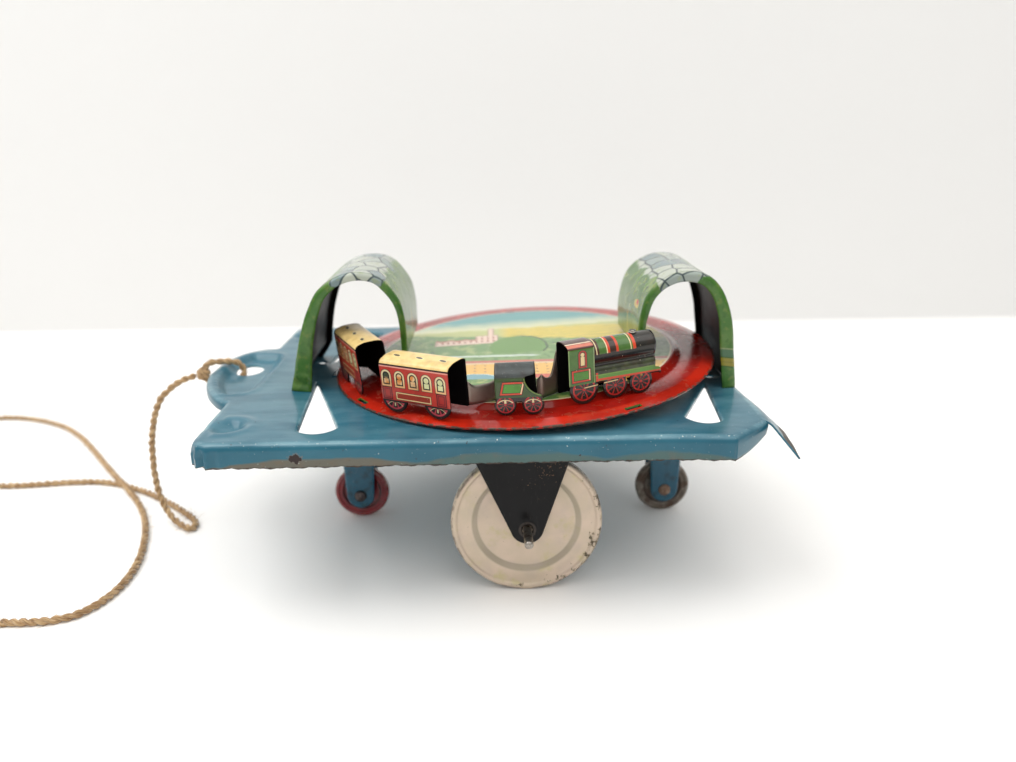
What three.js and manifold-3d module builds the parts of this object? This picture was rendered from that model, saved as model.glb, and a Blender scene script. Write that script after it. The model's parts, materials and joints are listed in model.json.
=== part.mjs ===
// A tin-plate platform toy: a blue pressed platform on four wheels carries a red turntable.
// A folded tin train stands on the turntable and runs through two green tunnels. The two big
// wheels sit on one cross axle, and a friction roller on that axle drives the turntable.
//
// Millimetres, +Z up. The toy is pulled towards -X by a twine tied to the tab, and -Y is the
// side the engine is on. Everything is drawn from the point on the floor under the turntable's
// centre. The finished group's origin is on the floor too, at the middle of the whole
// footprint, with the laid-out twine.

import * as THREE from 'three';
import { mergeVertices } from 'three/addons/utils/BufferGeometryUtils.js';
import Module from 'manifold-3d';

const wasm = await Module();
wasm.setup();

// ---------------------------------------------------------------- driving dimensions

const FOOTPRINT_MIDDLE = { x: -92.2, y: 20 };
const SHEET = 0.5; // tin plate
const GAP = 0.05; // between pieces that are riveted or soldered together
const RUNNING = 0.09; // radial clearance of a shaft in its hole
const CUT = 1; // how far a cutter runs past the piece it cuts

const PLATFORM = { left: -87, right: 63, half: 61.5, top: 50.7, depth: 6.5, corner: 3 };
const PLATFORM_UNDER = PLATFORM.top - SHEET;
const DENT = { alongFront: 12, alongSide: 11 }; // the pushed-in corner at +X, -Y
const FLAP = { yBack: -22, yFront: -57, drop: 5, out: 5.2, tip: 6.8, tipDrop: 7.4 }; // splayed side flange
const TAB = { x: -86, y: 1, reach: 15.4, half: 30, drop: 3, frontPower: 1.5, backPower: 2.5 };
const TAB_HOLE = { x: -91, y: 10, rx: 4.2, ry: 6 };
const TAB_OPENING = 40; // half width of the gap in the turned edge behind the tab
const SMALL_HOLES = { radius: 1.3, spots: [[-67.5, 12.5], [57.5, -11.5]] };

const DRIVE = { x: -1.7, z: 21, radius: 21, y: 47, width: 5, axle: 1.2, axleEnd: 62.3 };
const BRACKET = { leg: 6, sheet: 0.6, topX: -3.3, halfTop: 15, tipRadius: 4.6 };
const SMALL = { noseX: -54.7, tailX: 46.8, radius: 9, width: 4.4, pin: 1.2 };
const FORK = { leg: 5, halfTop: 6.4, halfTip: 4.6 };
const RIVET = { shank: 1.1, head: 2.1, high: 0.8 };

const DECK = { z: 55, slopeX: 0.054, slopeY: 0.041, radius: 59.5 }; // rim plane of the turntable
const TRACK = { z: 1.2, outer: 56, inner: 49.5 };
const PLATEAU = { z: 2.4, radius: 47.5 };
const SPINDLE = { radius: 1.5, stub: 0.8 }; // stub: how far it shows under the friction disc
const SPINDLE_FLANGE = { radius: 7, thick: 0.8 };
const SPACER_RADIUS = 3;
const BUSH = { top: -3.1, flangeRadius: 6.5, thick: 0.7, barrelRadius: 3.2, barrel: 4.4 };
const COLLAR = { radius: 3.4, high: 4 };
const ROLLER = { radius: 8, y: 10, width: 5 };
const FRICTION_DISC = { radius: 15, thick: 1 };
const DISH = { sunk: 0.9, stepFoot: 0.66, stepTop: 0.71, rim: 0.94 }; // radii as shares of the wheel's
const PIN_HEAD = { radius: 2, rim: 0.4, flat: 1.3, high: 0.9 };

const TRAIN_SHEET = 0.4;
// Printed wheels: where along the vehicle, and radius.
const COACH = {
  length: 22,
  width: 8.6,
  eave: 13.6,
  ridge: 15.2,
  floor: 3,
  wheels: [[-6.9, 3.9], [6.9, 3.9]],
};
const TENDER = {
  length: 12,
  width: 8,
  eave: 9.8,
  ridge: 13,
  floor: 3.6,
  wheels: [[-3.5, 2.9], [3.7, 2.9]],
};
const ENGINE = {
  length: 26,
  width: 8,
  cab: 7.4,
  cabTop: 16.5,
  boilerAxis: 13,
  boilerRise: 3.2,
  floor: 5.6,
  wheels: [[-8.8, 3.6], [0.4, 3], [8, 2.8]],
};
const LINK_HEIGHT = 5.4;

const TUNNEL = { length: 39, lipTop: 2.6, lipFoot: 0.9 };
// Each tunnel's contour, across from its foot and up from the platform. The two are bent unlike.
const LEFT_ARCH = [
  [0, 0], [3.4, 14.8], [6.3, 23.4], [10.6, 30.6], [18.5, 34.9],
  [27.4, 34.1], [33.4, 27.2], [35.2, 20], [35.4, 11],
];
const RIGHT_ARCH = [
  [0, 0], [1.3, 13], [2.5, 21], [5, 28], [9, 32.8],
  [14.5, 34.9], [21, 34.1], [27, 29.4], [29.6, 21.4], [29.6, 11],
];

// Facets round a turned piece, by its size.
const SPIN_DISC = 48;
const SPIN = 30;
const SPIN_ROLLER = 20;
const SPIN_DISH = 16;
const SPIN_SMALL = 14;
const SPIN_RIVET = 12;

// ---------------------------------------------------------------- looks

const BLUE = { color: 0x3f7f9c, roughness: 0.4, metalness: 0.1 };
const BLACK = { color: 0x141414, roughness: 0.4, metalness: 0.1 };
const RED = { color: 0xb8281c, roughness: 0.3, metalness: 0.1 };
const GREEN = { color: 0x4d7a2e, roughness: 0.3, metalness: 0.1 };
const STEEL = { color: 0x9a9a96, roughness: 0.45, metalness: 0.9 };
const SILVERED = { color: 0xcfc5b8, roughness: 0.45, metalness: 0.4 };
const DARK_RED = { color: 0x6a0d12, roughness: 0.35, metalness: 0.1 };
const TINNED = { color: 0x8a8074, roughness: 0.4, metalness: 0.8 };
const BROWN = { color: 0x4a3c34, roughness: 0.6, metalness: 0.3 };
const RUBBER = { color: 0x3a3532, roughness: 0.9, metalness: 0 };
const JUTE = { color: 0xb08d5e, roughness: 0.95, metalness: 0 };

// ---------------------------------------------------------------- helpers

const group = new THREE.Group();
group.position.set(-FOOTPRINT_MIDDLE.x, -FOOTPRINT_MIDDLE.y, 0);

// A named mesh with a material of its own, added to a parent.
function piece(name, geometry, look, parent = group) {
  const mesh = new THREE.Mesh(outward(geometry), new THREE.MeshStandardMaterial(look));
  mesh.name = name;
  parent.add(mesh);
  return mesh;
}

// Position-only copy of a geometry with shared corners merged.
function welded(geometry) {
  const plain = geometry.index ? geometry.toNonIndexed() : geometry.clone();
  plain.deleteAttribute('normal');
  plain.deleteAttribute('uv');
  return mergeVertices(plain, 1e-4);
}

// Six times the signed volume, used to see which way the faces point.
function signedVolume(geometry) {
  const at = geometry.attributes.position;
  const index = geometry.index.array;
  const a = new THREE.Vector3();
  const b = new THREE.Vector3();
  const c = new THREE.Vector3();
  let sum = 0;
  for (let i = 0; i < index.length; i += 3) {
    a.fromBufferAttribute(at, index[i]);
    b.fromBufferAttribute(at, index[i + 1]);
    c.fromBufferAttribute(at, index[i + 2]);
    sum += a.dot(b.cross(c));
  }
  return sum;
}

// Closed geometry with its faces turned outwards.
function outward(geometry) {
  const plain = welded(geometry);
  const index = plain.index.array;
  if (signedVolume(plain) < 0) {
    for (let i = 0; i < index.length; i += 3) {
      const kept = index[i];
      index[i] = index[i + 1];
      index[i + 1] = kept;
    }
  }
  return plain;
}

function solid(geometry) {
  const plain = outward(geometry);
  const vertProperties = new Float32Array(plain.attributes.position.array);
  const triVerts = new Uint32Array(plain.index.array);
  return new wasm.Manifold(new wasm.Mesh({ numProp: 3, vertProperties, triVerts }));
}

function geometryOf(body) {
  const mesh = body.getMesh();
  const positions = new Float32Array(mesh.numVert * 3);
  for (let i = 0; i < mesh.numVert; i += 1) {
    for (let k = 0; k < 3; k += 1) positions[3 * i + k] = mesh.vertProperties[i * mesh.numProp + k];
  }
  const geometry = new THREE.BufferGeometry();
  geometry.setAttribute('position', new THREE.BufferAttribute(positions, 3));
  geometry.setIndex(new THREE.BufferAttribute(new Uint32Array(mesh.triVerts), 1));
  return geometry;
}

function joined(...geometries) {
  return geometryOf(geometries.map(solid).reduce((whole, next) => whole.add(next)));
}

function cut(geometry, ...cutters) {
  return geometryOf(cutters.map(solid).reduce((rest, next) => rest.subtract(next), solid(geometry)));
}

const vec = (x, y) => new THREE.Vector2(x, y);

// An open path moved sideways, to its left, by one distance or by a distance for each point.
function movedPath(path, distance) {
  return path.map((point, i) => {
    const before = path[Math.max(i - 1, 0)];
    const after = path[Math.min(i + 1, path.length - 1)];
    const enter = i === 0 ? after.clone().sub(point) : point.clone().sub(before);
    const leave = i === path.length - 1 ? enter.clone() : after.clone().sub(point);
    enter.normalize();
    leave.normalize();
    const middle = enter.clone().add(leave).normalize();
    const reach = (Array.isArray(distance) ? distance[i] : distance) / Math.max(middle.dot(enter), 0.5);
    return point.clone().add(vec(-middle.y, middle.x).multiplyScalar(reach));
  });
}

// Closed outline of a thin sheet whose middle follows an open path.
function sheetOutline(path, thickness) {
  return [...movedPath(path, thickness / 2), ...movedPath(path, -thickness / 2).reverse()];
}

// Points of an arc, angles in degrees, end points included.
function arc(x, y, rx, ry, from, to, steps) {
  const points = [];
  for (let i = 0; i <= steps; i += 1) {
    const turn = THREE.MathUtils.degToRad(from + ((to - from) * i) / steps);
    points.push(vec(x + rx * Math.cos(turn), y + ry * Math.sin(turn)));
  }
  return points;
}

// Flat outline in X and Y, raised from z0 to z1.
function slab(points, z0, z1) {
  const outline = new THREE.Shape(points);
  const geometry = new THREE.ExtrudeGeometry(outline, { depth: z1 - z0, bevelEnabled: false });
  return geometry.translate(0, 0, z0);
}

// Outline in X and Z, stretched from y0 to y1.
function slabAlongY(points, y0, y1) {
  const outline = new THREE.Shape(points);
  const geometry = new THREE.ExtrudeGeometry(outline, { depth: y1 - y0, bevelEnabled: false });
  return geometry.rotateX(Math.PI / 2).translate(0, y1, 0);
}

// Turned piece about Z from a closed outline of radius and height.
function turned(points, facets = SPIN_SMALL) {
  const closed = points.concat([points[0].clone()]);
  return new THREE.LatheGeometry(closed, facets).rotateX(Math.PI / 2);
}

function post(radius, z0, z1, facets = SPIN_SMALL) {
  return turned([vec(0, z0), vec(radius, z0), vec(radius, z1), vec(0, z1)], facets);
}

function postAt(x, y, radius, z0, z1) {
  return post(radius, z0, z1).translate(x, y, 0);
}

// The same, lying along Y.
function rodAlongY(x, z, radius, y0, y1, facets = SPIN_SMALL) {
  return post(radius, y0, y1, facets).rotateX(-Math.PI / 2).translate(x, 0, z);
}

function box(x0, x1, y0, y1, z0, z1) {
  const geometry = new THREE.BoxGeometry(x1 - x0, y1 - y0, z1 - z0);
  return geometry.translate((x0 + x1) / 2, (y0 + y1) / 2, (z0 + z1) / 2);
}

// ---------------------------------------------------------------- platform

// Plan of the pressed platform, drawn in by a distance. The +X, -Y corner is pushed in.
function platformPlan(inset) {
  const left = PLATFORM.left + inset;
  const right = PLATFORM.right - inset;
  const front = -PLATFORM.half + inset;
  const back = PLATFORM.half - inset;
  const r = PLATFORM.corner - inset;
  return [
    ...arc(left + r, front + r, r, r, 180, 270, 4),
    vec(right - DENT.alongFront, front),
    vec(right, front + DENT.alongSide),
    ...arc(right - r, back - r, r, r, 0, 90, 4),
    ...arc(left + r, back - r, r, r, 90, 180, 4),
  ];
}

// Half of the pull tab: a quarter of a superellipse, drawn in by a distance.
function tabSide(inset, sign, power, steps) {
  const points = [];
  for (let i = 0; i <= steps; i += 1) {
    const turn = (Math.PI / 2) * (i / steps);
    const along = Math.sin(turn) ** (2 / power) * (TAB.half - inset);
    const out = Math.cos(turn) ** (2 / power) * (TAB.reach - inset);
    points.push(vec(TAB.x - out, TAB.y + sign * along));
  }
  return points;
}

function tabPlan(inset) {
  const front = tabSide(inset, -1, TAB.frontPower, 8);
  const back = tabSide(inset, 1, TAB.backPower, 8);
  return [...back.reverse(), ...front.slice(1)];
}

// A dished tray: an outline with its edge turned down.
function tray(plan, depth) {
  const whole = slab(plan(0), PLATFORM.top - depth, PLATFORM.top);
  return cut(whole, slab(plan(SHEET), PLATFORM.top - depth - CUT, PLATFORM_UNDER));
}

// Kite-shaped window with a rounded outer end.
function windowPlan(apexX, apexY, endX, endY, halfWidth) {
  const along = vec(endX - apexX, endY - apexY).normalize();
  const side = vec(-along.y, along.x);
  const end = vec(endX, endY);
  const points = [vec(apexX, apexY)];
  for (let i = -4; i <= 4; i += 1) {
    const across = (halfWidth * i) / 4;
    const bulge = 3.2 * (1 - (i / 4) ** 2);
    points.push(end.clone().addScaledVector(side, across).addScaledVector(along, bulge));
  }
  return points;
}

const WINDOWS = [
  [-65, -8.5, -56.5, -51, 5.2],
  [54.4, -17.5, 45.8, -48, 5],
  [-65, 8.5, -56.5, 51, 5.2],
  [54.4, 17.5, 45.8, 48, 5],
];

// Side flange that is bent outwards near the dented corner and ends in a sharp tip.
function splayedFlange() {
  const side = PLATFORM.right - SHEET;
  const top = PLATFORM.top - 0.2;
  const outline = [
    new THREE.Vector3(side, FLAP.yBack, top),
    new THREE.Vector3(side + FLAP.out, FLAP.yBack - 10, top - FLAP.drop),
    new THREE.Vector3(side + FLAP.tip, FLAP.yFront, top - FLAP.tipDrop),
    new THREE.Vector3(side, -PLATFORM.half + DENT.alongSide + 0.5, top),
  ];
  const positions = [];
  outline.forEach((corner) => positions.push(corner.x, corner.y, corner.z));
  outline.forEach((corner) => positions.push(corner.x - 0.4, corner.y, corner.z - SHEET));
  const geometry = new THREE.BufferGeometry();
  geometry.setAttribute('position', new THREE.Float32BufferAttribute(positions, 3));
  geometry.setIndex([
    0, 1, 2, 0, 2, 3, 6, 5, 4, 7, 6, 4,
    1, 0, 4, 1, 4, 5, 2, 1, 5, 2, 5, 6, 3, 2, 6, 3, 6, 7, 0, 3, 7, 0, 7, 4,
  ]);
  return geometry;
}

const RIVET_SPOTS = {
  drive_rivet_front_left: [DRIVE.x - 8, -DRIVE.y],
  drive_rivet_front_right: [DRIVE.x + 8, -DRIVE.y],
  drive_rivet_rear_left: [DRIVE.x - 8, DRIVE.y],
  drive_rivet_rear_right: [DRIVE.x + 8, DRIVE.y],
  nose_fork_rivet: [SMALL.noseX, 0],
  tail_fork_rivet: [SMALL.tailX, 0],
};

// Where each tunnel stands: the outside of its foot and its middle. side is +1 with the foot at +X.
const TUNNEL_SPOTS = {
  left: { foot: -70.8, middle: 0.4, side: -1, arch: LEFT_ARCH },
  right: { foot: 62.2, middle: -3.8, side: 1, arch: RIGHT_ARCH },
};
const FOOT_TAB = { spread: 10, half: 2.5, reach: 2.6 };
const SPINDLE_HOLE = 4.2;

// Slots in the platform for the two tabs under a tunnel's foot.
function footSlots(spot) {
  return [-1, 1].map((sign) => {
    const y = spot.middle + sign * FOOT_TAB.spread;
    const half = FOOT_TAB.half + 0.3;
    const bottom = PLATFORM_UNDER - CUT;
    const x = spot.foot - spot.side * (SHEET / 2);
    return box(x - 0.6, x + 0.6, y - half, y + half, bottom, PLATFORM.top + CUT);
  });
}

function platform() {
  const pan = joined(tray(platformPlan, PLATFORM.depth), tray(tabPlan, TAB.drop), splayedFlange());
  const low = PLATFORM.top - PLATFORM.depth - CUT;
  const behindTab = box(PLATFORM.left + SHEET, TAB.x + CUT, -TAB_OPENING, TAB_OPENING, low, PLATFORM_UNDER);
  const high = PLATFORM.top + CUT;
  const shankHole = RIVET.shank + RUNNING;
  return cut(
    pan,
    behindTab,
    slab(arc(TAB_HOLE.x, TAB_HOLE.y, TAB_HOLE.rx, TAB_HOLE.ry, 0, 345, 23), low, high),
    ...WINDOWS.map((numbers) => slab(windowPlan(...numbers), PLATFORM_UNDER - CUT, high)),
    ...Object.values(RIVET_SPOTS).map(([x, y]) => postAt(x, y, shankHole, PLATFORM_UNDER - CUT, high)),
    ...Object.values(TUNNEL_SPOTS).flatMap(footSlots),
    ...SMALL_HOLES.spots.map(([x, y]) => postAt(x, y, SMALL_HOLES.radius, PLATFORM_UNDER - CUT, high)),
    postAt(0, 0, SPINDLE_HOLE, PLATFORM_UNDER - CUT, high),
  );
}

piece('platform', platform(), BLUE);

// ---------------------------------------------------------------- brackets, forks, rivets

// Tapered leg with a round tip, in X and Z.
function legPlan(tipX, tipZ, tipRadius, topX, halfTop, topZ) {
  const tip = arc(tipX, tipZ, tipRadius, tipRadius, 190, 350, 10);
  return [vec(topX - halfTop, topZ), ...tip, vec(topX + halfTop, topZ)];
}

// U-shaped holder: a web under the platform and a leg on each side of the wheel.
function holder(plan, middleY, legY, sheet, tip, pinRadius, rivets) {
  const top = PLATFORM_UNDER - GAP;
  const xs = plan.map((point) => point.x);
  const legs = [-1, 1].map((sign) => {
    const y = middleY + sign * legY;
    return slabAlongY(plan, y - sheet / 2, y + sheet / 2);
  });
  const reach = legY + sheet / 2;
  const left = Math.min(...xs);
  const right = Math.max(...xs);
  const web = box(left, right, middleY - reach, middleY + reach, top - sheet, top);
  const pinHole = rodAlongY(tip.x, tip.z, pinRadius + RUNNING, middleY - reach - CUT, middleY + reach + CUT);
  const bore = RIVET.shank + RUNNING;
  const holes = rivets.map(([x, y]) => postAt(x, y, bore, top - sheet - CUT, top + CUT));
  return cut(joined(web, ...legs), pinHole, ...holes);
}

function driveBracket(sign, rivetNames) {
  const top = PLATFORM_UNDER - GAP;
  const plan = legPlan(DRIVE.x, DRIVE.z, BRACKET.tipRadius, BRACKET.topX, BRACKET.halfTop, top);
  const rivets = rivetNames.map((name) => RIVET_SPOTS[name]);
  return holder(plan, sign * DRIVE.y, BRACKET.leg, BRACKET.sheet, DRIVE, DRIVE.axle, rivets);
}

function wheelFork(x, rivetName) {
  const top = PLATFORM_UNDER - GAP;
  const plan = legPlan(x, SMALL.radius, FORK.halfTip, x, FORK.halfTop, top);
  const tip = { x, z: SMALL.radius };
  return holder(plan, 0, FORK.leg, SHEET, tip, SMALL.pin, [RIVET_SPOTS[rivetName]]);
}

// Headed rivet from under a web to the top of the platform.
function rivet(x, y, sheet) {
  const bottom = PLATFORM_UNDER - GAP - sheet - GAP;
  const top = PLATFORM.top + GAP;
  const outline = [
    vec(0, bottom - RIVET.high),
    vec(RIVET.head * 0.7, bottom - RIVET.high),
    vec(RIVET.head, bottom - RIVET.high * 0.5),
    vec(RIVET.head, bottom),
    vec(RIVET.shank, bottom),
    vec(RIVET.shank, top),
    vec(RIVET.head, top),
    vec(RIVET.head, top + RIVET.high * 0.5),
    vec(RIVET.head * 0.7, top + RIVET.high),
    vec(0, top + RIVET.high),
  ];
  return turned(outline, SPIN_RIVET).translate(x, y, 0);
}

const frontRivets = ['drive_rivet_front_left', 'drive_rivet_front_right'];
const rearRivets = ['drive_rivet_rear_left', 'drive_rivet_rear_right'];
piece('drive_bracket_front', driveBracket(-1, frontRivets), BLACK);
piece('drive_bracket_rear', driveBracket(1, rearRivets), BLACK);
piece('nose_fork', wheelFork(SMALL.noseX, 'nose_fork_rivet'), BLUE);
piece('tail_fork', wheelFork(SMALL.tailX, 'tail_fork_rivet'), BLUE);

Object.entries(RIVET_SPOTS).forEach(([name, [x, y]]) => {
  const sheet = name.startsWith('drive') ? BRACKET.sheet : SHEET;
  piece(name, rivet(x, y, sheet), TINNED);
});

// Pin of a small wheel, with a head outside each leg of the fork.
function wheelPin(x) {
  const face = FORK.leg + SHEET / 2 + GAP;
  const outline = [
    vec(0, -face - PIN_HEAD.high),
    vec(PIN_HEAD.flat, -face - PIN_HEAD.high),
    vec(PIN_HEAD.radius, -face - PIN_HEAD.rim),
    vec(PIN_HEAD.radius, -face),
    vec(SMALL.pin, -face),
    vec(SMALL.pin, face),
    vec(PIN_HEAD.radius, face),
    vec(PIN_HEAD.radius, face + PIN_HEAD.rim),
    vec(PIN_HEAD.flat, face + PIN_HEAD.high),
    vec(0, face + PIN_HEAD.high),
  ];
  return turned(outline).rotateX(-Math.PI / 2).translate(x, 0, SMALL.radius);
}

piece('nose_wheel_pin', wheelPin(SMALL.noseX), STEEL);
piece('tail_wheel_pin', wheelPin(SMALL.tailX), STEEL);

// ---------------------------------------------------------------- wheels

// Pressed dish of a wheel about Z. Its face is at +Z, and its middle is pressed in a little.
function dish(radius, halfWidth, bore, sheet, lap) {
  const face = halfWidth - sheet / 2;
  const edge = radius - sheet / 2 - lap;
  const path = [
    vec(bore, face - DISH.sunk),
    vec(radius * DISH.stepFoot, face - DISH.sunk),
    vec(radius * DISH.stepTop, face - GAP),
    vec(radius * DISH.rim, face - GAP),
    vec(edge, face - DISH.sunk),
    vec(edge, sheet * 0.25 + (lap > 0 ? GAP - halfWidth + 1.6 : 0)),
  ];
  return turned(sheetOutline(path, sheet), radius === DRIVE.radius ? SPIN : SPIN_DISH);
}

// The outer dish carries the tread, and the inner dish sits inside its edge.
function wheelPair(prefix, x, y, z, radius, width, bore, sign, look) {
  const facing = sign > 0 ? -Math.PI / 2 : Math.PI / 2;
  const outer = dish(radius, width / 2, bore, SHEET, 0);
  const inner = dish(radius, width / 2, bore, SHEET, SHEET + 0.1);
  piece(`${prefix}_outer`, outer.rotateX(facing).translate(x, y, z), look);
  piece(`${prefix}_inner`, inner.rotateX(-facing).translate(x, y, z), look);
}

// Tube that holds a wheel's two dishes apart, about Y.
function hubTube(x, y, z, inner, outer, length) {
  const half = length / 2;
  const outline = [vec(inner, -half), vec(outer, -half), vec(outer, half), vec(inner, half)];
  return turned(outline).rotateX(-Math.PI / 2).translate(x, y, z);
}

const HUB_WALL = 0.9;
const driveHub = DRIVE.axle + GAP + HUB_WALL;
[['drive_wheel_front', -1], ['drive_wheel_rear', 1]].forEach(([name, sign]) => {
  const bore = driveHub + GAP;
  wheelPair(name, DRIVE.x, sign * DRIVE.y, DRIVE.z, DRIVE.radius, DRIVE.width, bore, sign, SILVERED);
});
[['drive_hub_front', -1], ['drive_hub_rear', 1]].forEach(([name, sign]) => {
  const tube = hubTube(DRIVE.x, sign * DRIVE.y, DRIVE.z, DRIVE.axle + GAP, driveHub, DRIVE.width + 2);
  piece(name, tube, STEEL);
});

const smallHub = SMALL.pin + RUNNING + HUB_WALL;
[['nose', SMALL.noseX, DARK_RED], ['tail', SMALL.tailX, TINNED]].forEach(([end, x, look]) => {
  wheelPair(`${end}_wheel`, x, 0, SMALL.radius, SMALL.radius, SMALL.width, smallHub + GAP, -1, look);
  const tube = hubTube(x, 0, SMALL.radius, SMALL.pin + RUNNING, smallHub, SMALL.width + 2);
  piece(`${end}_hub`, tube, STEEL);
});

// ---------------------------------------------------------------- drive axle and roller

function driveAxle() {
  const end = DRIVE.axleEnd;
  const outline = [vec(0, -end), vec(0.7, -end), vec(DRIVE.axle, -end + 0.6)];
  outline.push(vec(DRIVE.axle, end - 0.6), vec(0.7, end), vec(0, end));
  return turned(outline).rotateX(-Math.PI / 2).translate(DRIVE.x, 0, DRIVE.z);
}

// Rubber roller with a crowned tread, about Y.
function frictionRoller() {
  const half = ROLLER.width / 2;
  const outline = [
    vec(DRIVE.axle + GAP, -half),
    vec(ROLLER.radius - 0.9, -half),
    vec(ROLLER.radius - 0.25, -half * 0.6),
    vec(ROLLER.radius, 0),
    vec(ROLLER.radius - 0.25, half * 0.6),
    vec(ROLLER.radius - 0.9, half),
    vec(DRIVE.axle + GAP, half),
  ];
  return turned(outline, SPIN_ROLLER).rotateX(-Math.PI / 2).translate(DRIVE.x, ROLLER.y, DRIVE.z);
}

piece('drive_axle', driveAxle(), STEEL);
piece('friction_roller', frictionRoller(), RUBBER);

// ---------------------------------------------------------------- tunnels

// Outside of the arch in X and Z, from the foot over the top to the hanging inner leg.
function archPath(spot) {
  const corners = spot.arch.map(([across, up]) => vec(spot.foot - spot.side * across, PLATFORM.top + up));
  return new THREE.SplineCurve(corners).getPoints(18);
}

// Turned-in lip round an end of the tunnel: wide over the top and narrow down the legs, where the train
// passes close by.
function tunnelLip(spot, y) {
  const outside = archPath(spot);
  const last = outside.length - 1;
  const widths = outside.map((point, i) => {
    const crown = Math.sin((Math.PI * i) / last) ** 2;
    return spot.side * (SHEET + TUNNEL.lipFoot + (TUNNEL.lipTop - TUNNEL.lipFoot) * crown);
  });
  const inside = movedPath(outside, widths);
  return slabAlongY([...outside, ...inside.reverse()], y - SHEET / 2, y + SHEET / 2);
}

function tunnel(spot) {
  const y0 = spot.middle - TUNNEL.length / 2;
  const y1 = spot.middle + TUNNEL.length / 2;
  const outside = archPath(spot);
  const shell = slabAlongY([...outside, ...movedPath(outside, spot.side * SHEET).reverse()], y0, y1);
  const x = spot.foot - spot.side * (SHEET / 2);
  const tabs = [-1, 1].map((sign) => {
    const y = spot.middle + sign * FOOT_TAB.spread;
    const top = PLATFORM.top + 2;
    const low = PLATFORM_UNDER - FOOT_TAB.reach;
    return box(x - 0.25, x + 0.25, y - FOOT_TAB.half, y + FOOT_TAB.half, low, top);
  });
  const lips = [tunnelLip(spot, y0 + SHEET / 2), tunnelLip(spot, y1 - SHEET / 2)];
  const ground = box(x - 8, x + 8, y0 - CUT, y1 + CUT, PLATFORM.top - 3, PLATFORM.top + GAP);
  return joined(cut(joined(shell, ...lips), ground), ...tabs);
}

piece('tunnel_left', tunnel(TUNNEL_SPOTS.left), GREEN);
piece('tunnel_right', tunnel(TUNNEL_SPOTS.right), GREEN);

// ---------------------------------------------------------------- turntable

// The turntable leans a little on its loose spindle, so everything on it shares a tilted group.
const deck = new THREE.Group();
const deckNormal = new THREE.Vector3(-DECK.slopeX, -DECK.slopeY, 1).normalize();
deck.position.set(0, 0, DECK.z);
deck.quaternion.setFromUnitVectors(new THREE.Vector3(0, 0, 1), deckNormal);
group.add(deck);

function turntableDisc() {
  const half = SHEET / 2;
  const path = [
    vec(0, PLATEAU.z - half),
    vec(PLATEAU.radius - 1, PLATEAU.z - half),
    vec(PLATEAU.radius, PLATEAU.z - half - 0.15),
    vec(TRACK.inner, TRACK.z - half),
    vec(TRACK.outer, TRACK.z - half),
    vec(TRACK.outer + 0.8, TRACK.z - half - 0.15),
    vec(DECK.radius - 0.1, half),
  ];
  const disc = turned(sheetOutline(path, SHEET), SPIN_DISC);
  const slots = [-63, -145].map((degrees) => {
    const slot = box(57.2, 58.6, -3, 3, -CUT, TRACK.z + CUT);
    return slot.rotateZ(THREE.MathUtils.degToRad(degrees));
  });
  return cut(disc, ...slots);
}

piece('turntable_disc', turntableDisc(), RED, deck);

const underPlateau = PLATEAU.z - SHEET;
const flangeTop = underPlateau - GAP;
const flangeUnder = flangeTop - SPINDLE_FLANGE.thick;

// Height of the friction disc's underside in the tilted group: it rests on the roller's crown.
const crownRise = DRIVE.z + ROLLER.radius + GAP - DECK.z;
const crownLean = DECK.slopeX * DRIVE.x + DECK.slopeY * ROLLER.y;
const frictionUnder = (crownRise - crownLean) * deckNormal.z;
const frictionTop = frictionUnder + FRICTION_DISC.thick;

function ring(inner, outer, z0, z1, facets = SPIN_SMALL) {
  return turned([vec(inner, z0), vec(outer, z0), vec(outer, z1), vec(inner, z1)], facets);
}

// Flange soldered under the disc, holding the spindle's head.
const flange = ring(SPINDLE.radius + GAP, SPINDLE_FLANGE.radius, flangeUnder, flangeTop);
piece('spindle_flange', flange, STEEL, deck);
piece('spindle', post(SPINDLE.radius, frictionUnder - SPINDLE.stub, flangeTop), STEEL, deck);
const spacer = ring(SPINDLE.radius + GAP, SPACER_RADIUS, BUSH.top + 2 * GAP, flangeUnder - GAP);
piece('spindle_spacer', spacer, STEEL, deck);
const wheelPlate = ring(SPINDLE.radius + GAP, FRICTION_DISC.radius, frictionUnder, frictionTop, SPIN);
piece('friction_disc', wheelPlate, STEEL, deck);
const collar = ring(SPINDLE.radius + GAP, COLLAR.radius, frictionTop + GAP, frictionTop + COLLAR.high);
piece('friction_collar', collar, STEEL, deck);

// Flanged bush in the platform's middle hole, set along the leaning spindle.
function spindleBush() {
  const bore = SPINDLE.radius + RUNNING;
  const flange = BUSH.top - BUSH.thick;
  return turned([
    vec(bore, flange - BUSH.barrel),
    vec(BUSH.barrelRadius, flange - BUSH.barrel),
    vec(BUSH.barrelRadius, flange),
    vec(BUSH.flangeRadius, flange),
    vec(BUSH.flangeRadius, BUSH.top),
    vec(bore, BUSH.top),
  ]);
}

piece('spindle_bush', spindleBush(), STEEL, deck);

// ---------------------------------------------------------------- train

// A vehicle's own frame: x points inwards to the middle, y up and z the way the train runs.
// Its outer wall stands at distance from the middle, facing out at an angle.
function vehicleFrame(degrees, distance, offset = 0) {
  const turn = THREE.MathUtils.degToRad(degrees);
  const out = new THREE.Vector3(Math.cos(turn), Math.sin(turn), 0);
  const along = new THREE.Vector3(-out.y, out.x, 0);
  const frame = new THREE.Group();
  const basis = new THREE.Matrix4().makeBasis(out.clone().negate(), new THREE.Vector3(0, 0, 1), along);
  frame.quaternion.setFromRotationMatrix(basis);
  frame.position.copy(out.multiplyScalar(distance).addScaledVector(along, offset));
  frame.position.z = TRACK.z;
  deck.add(frame);
  return frame;
}

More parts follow.
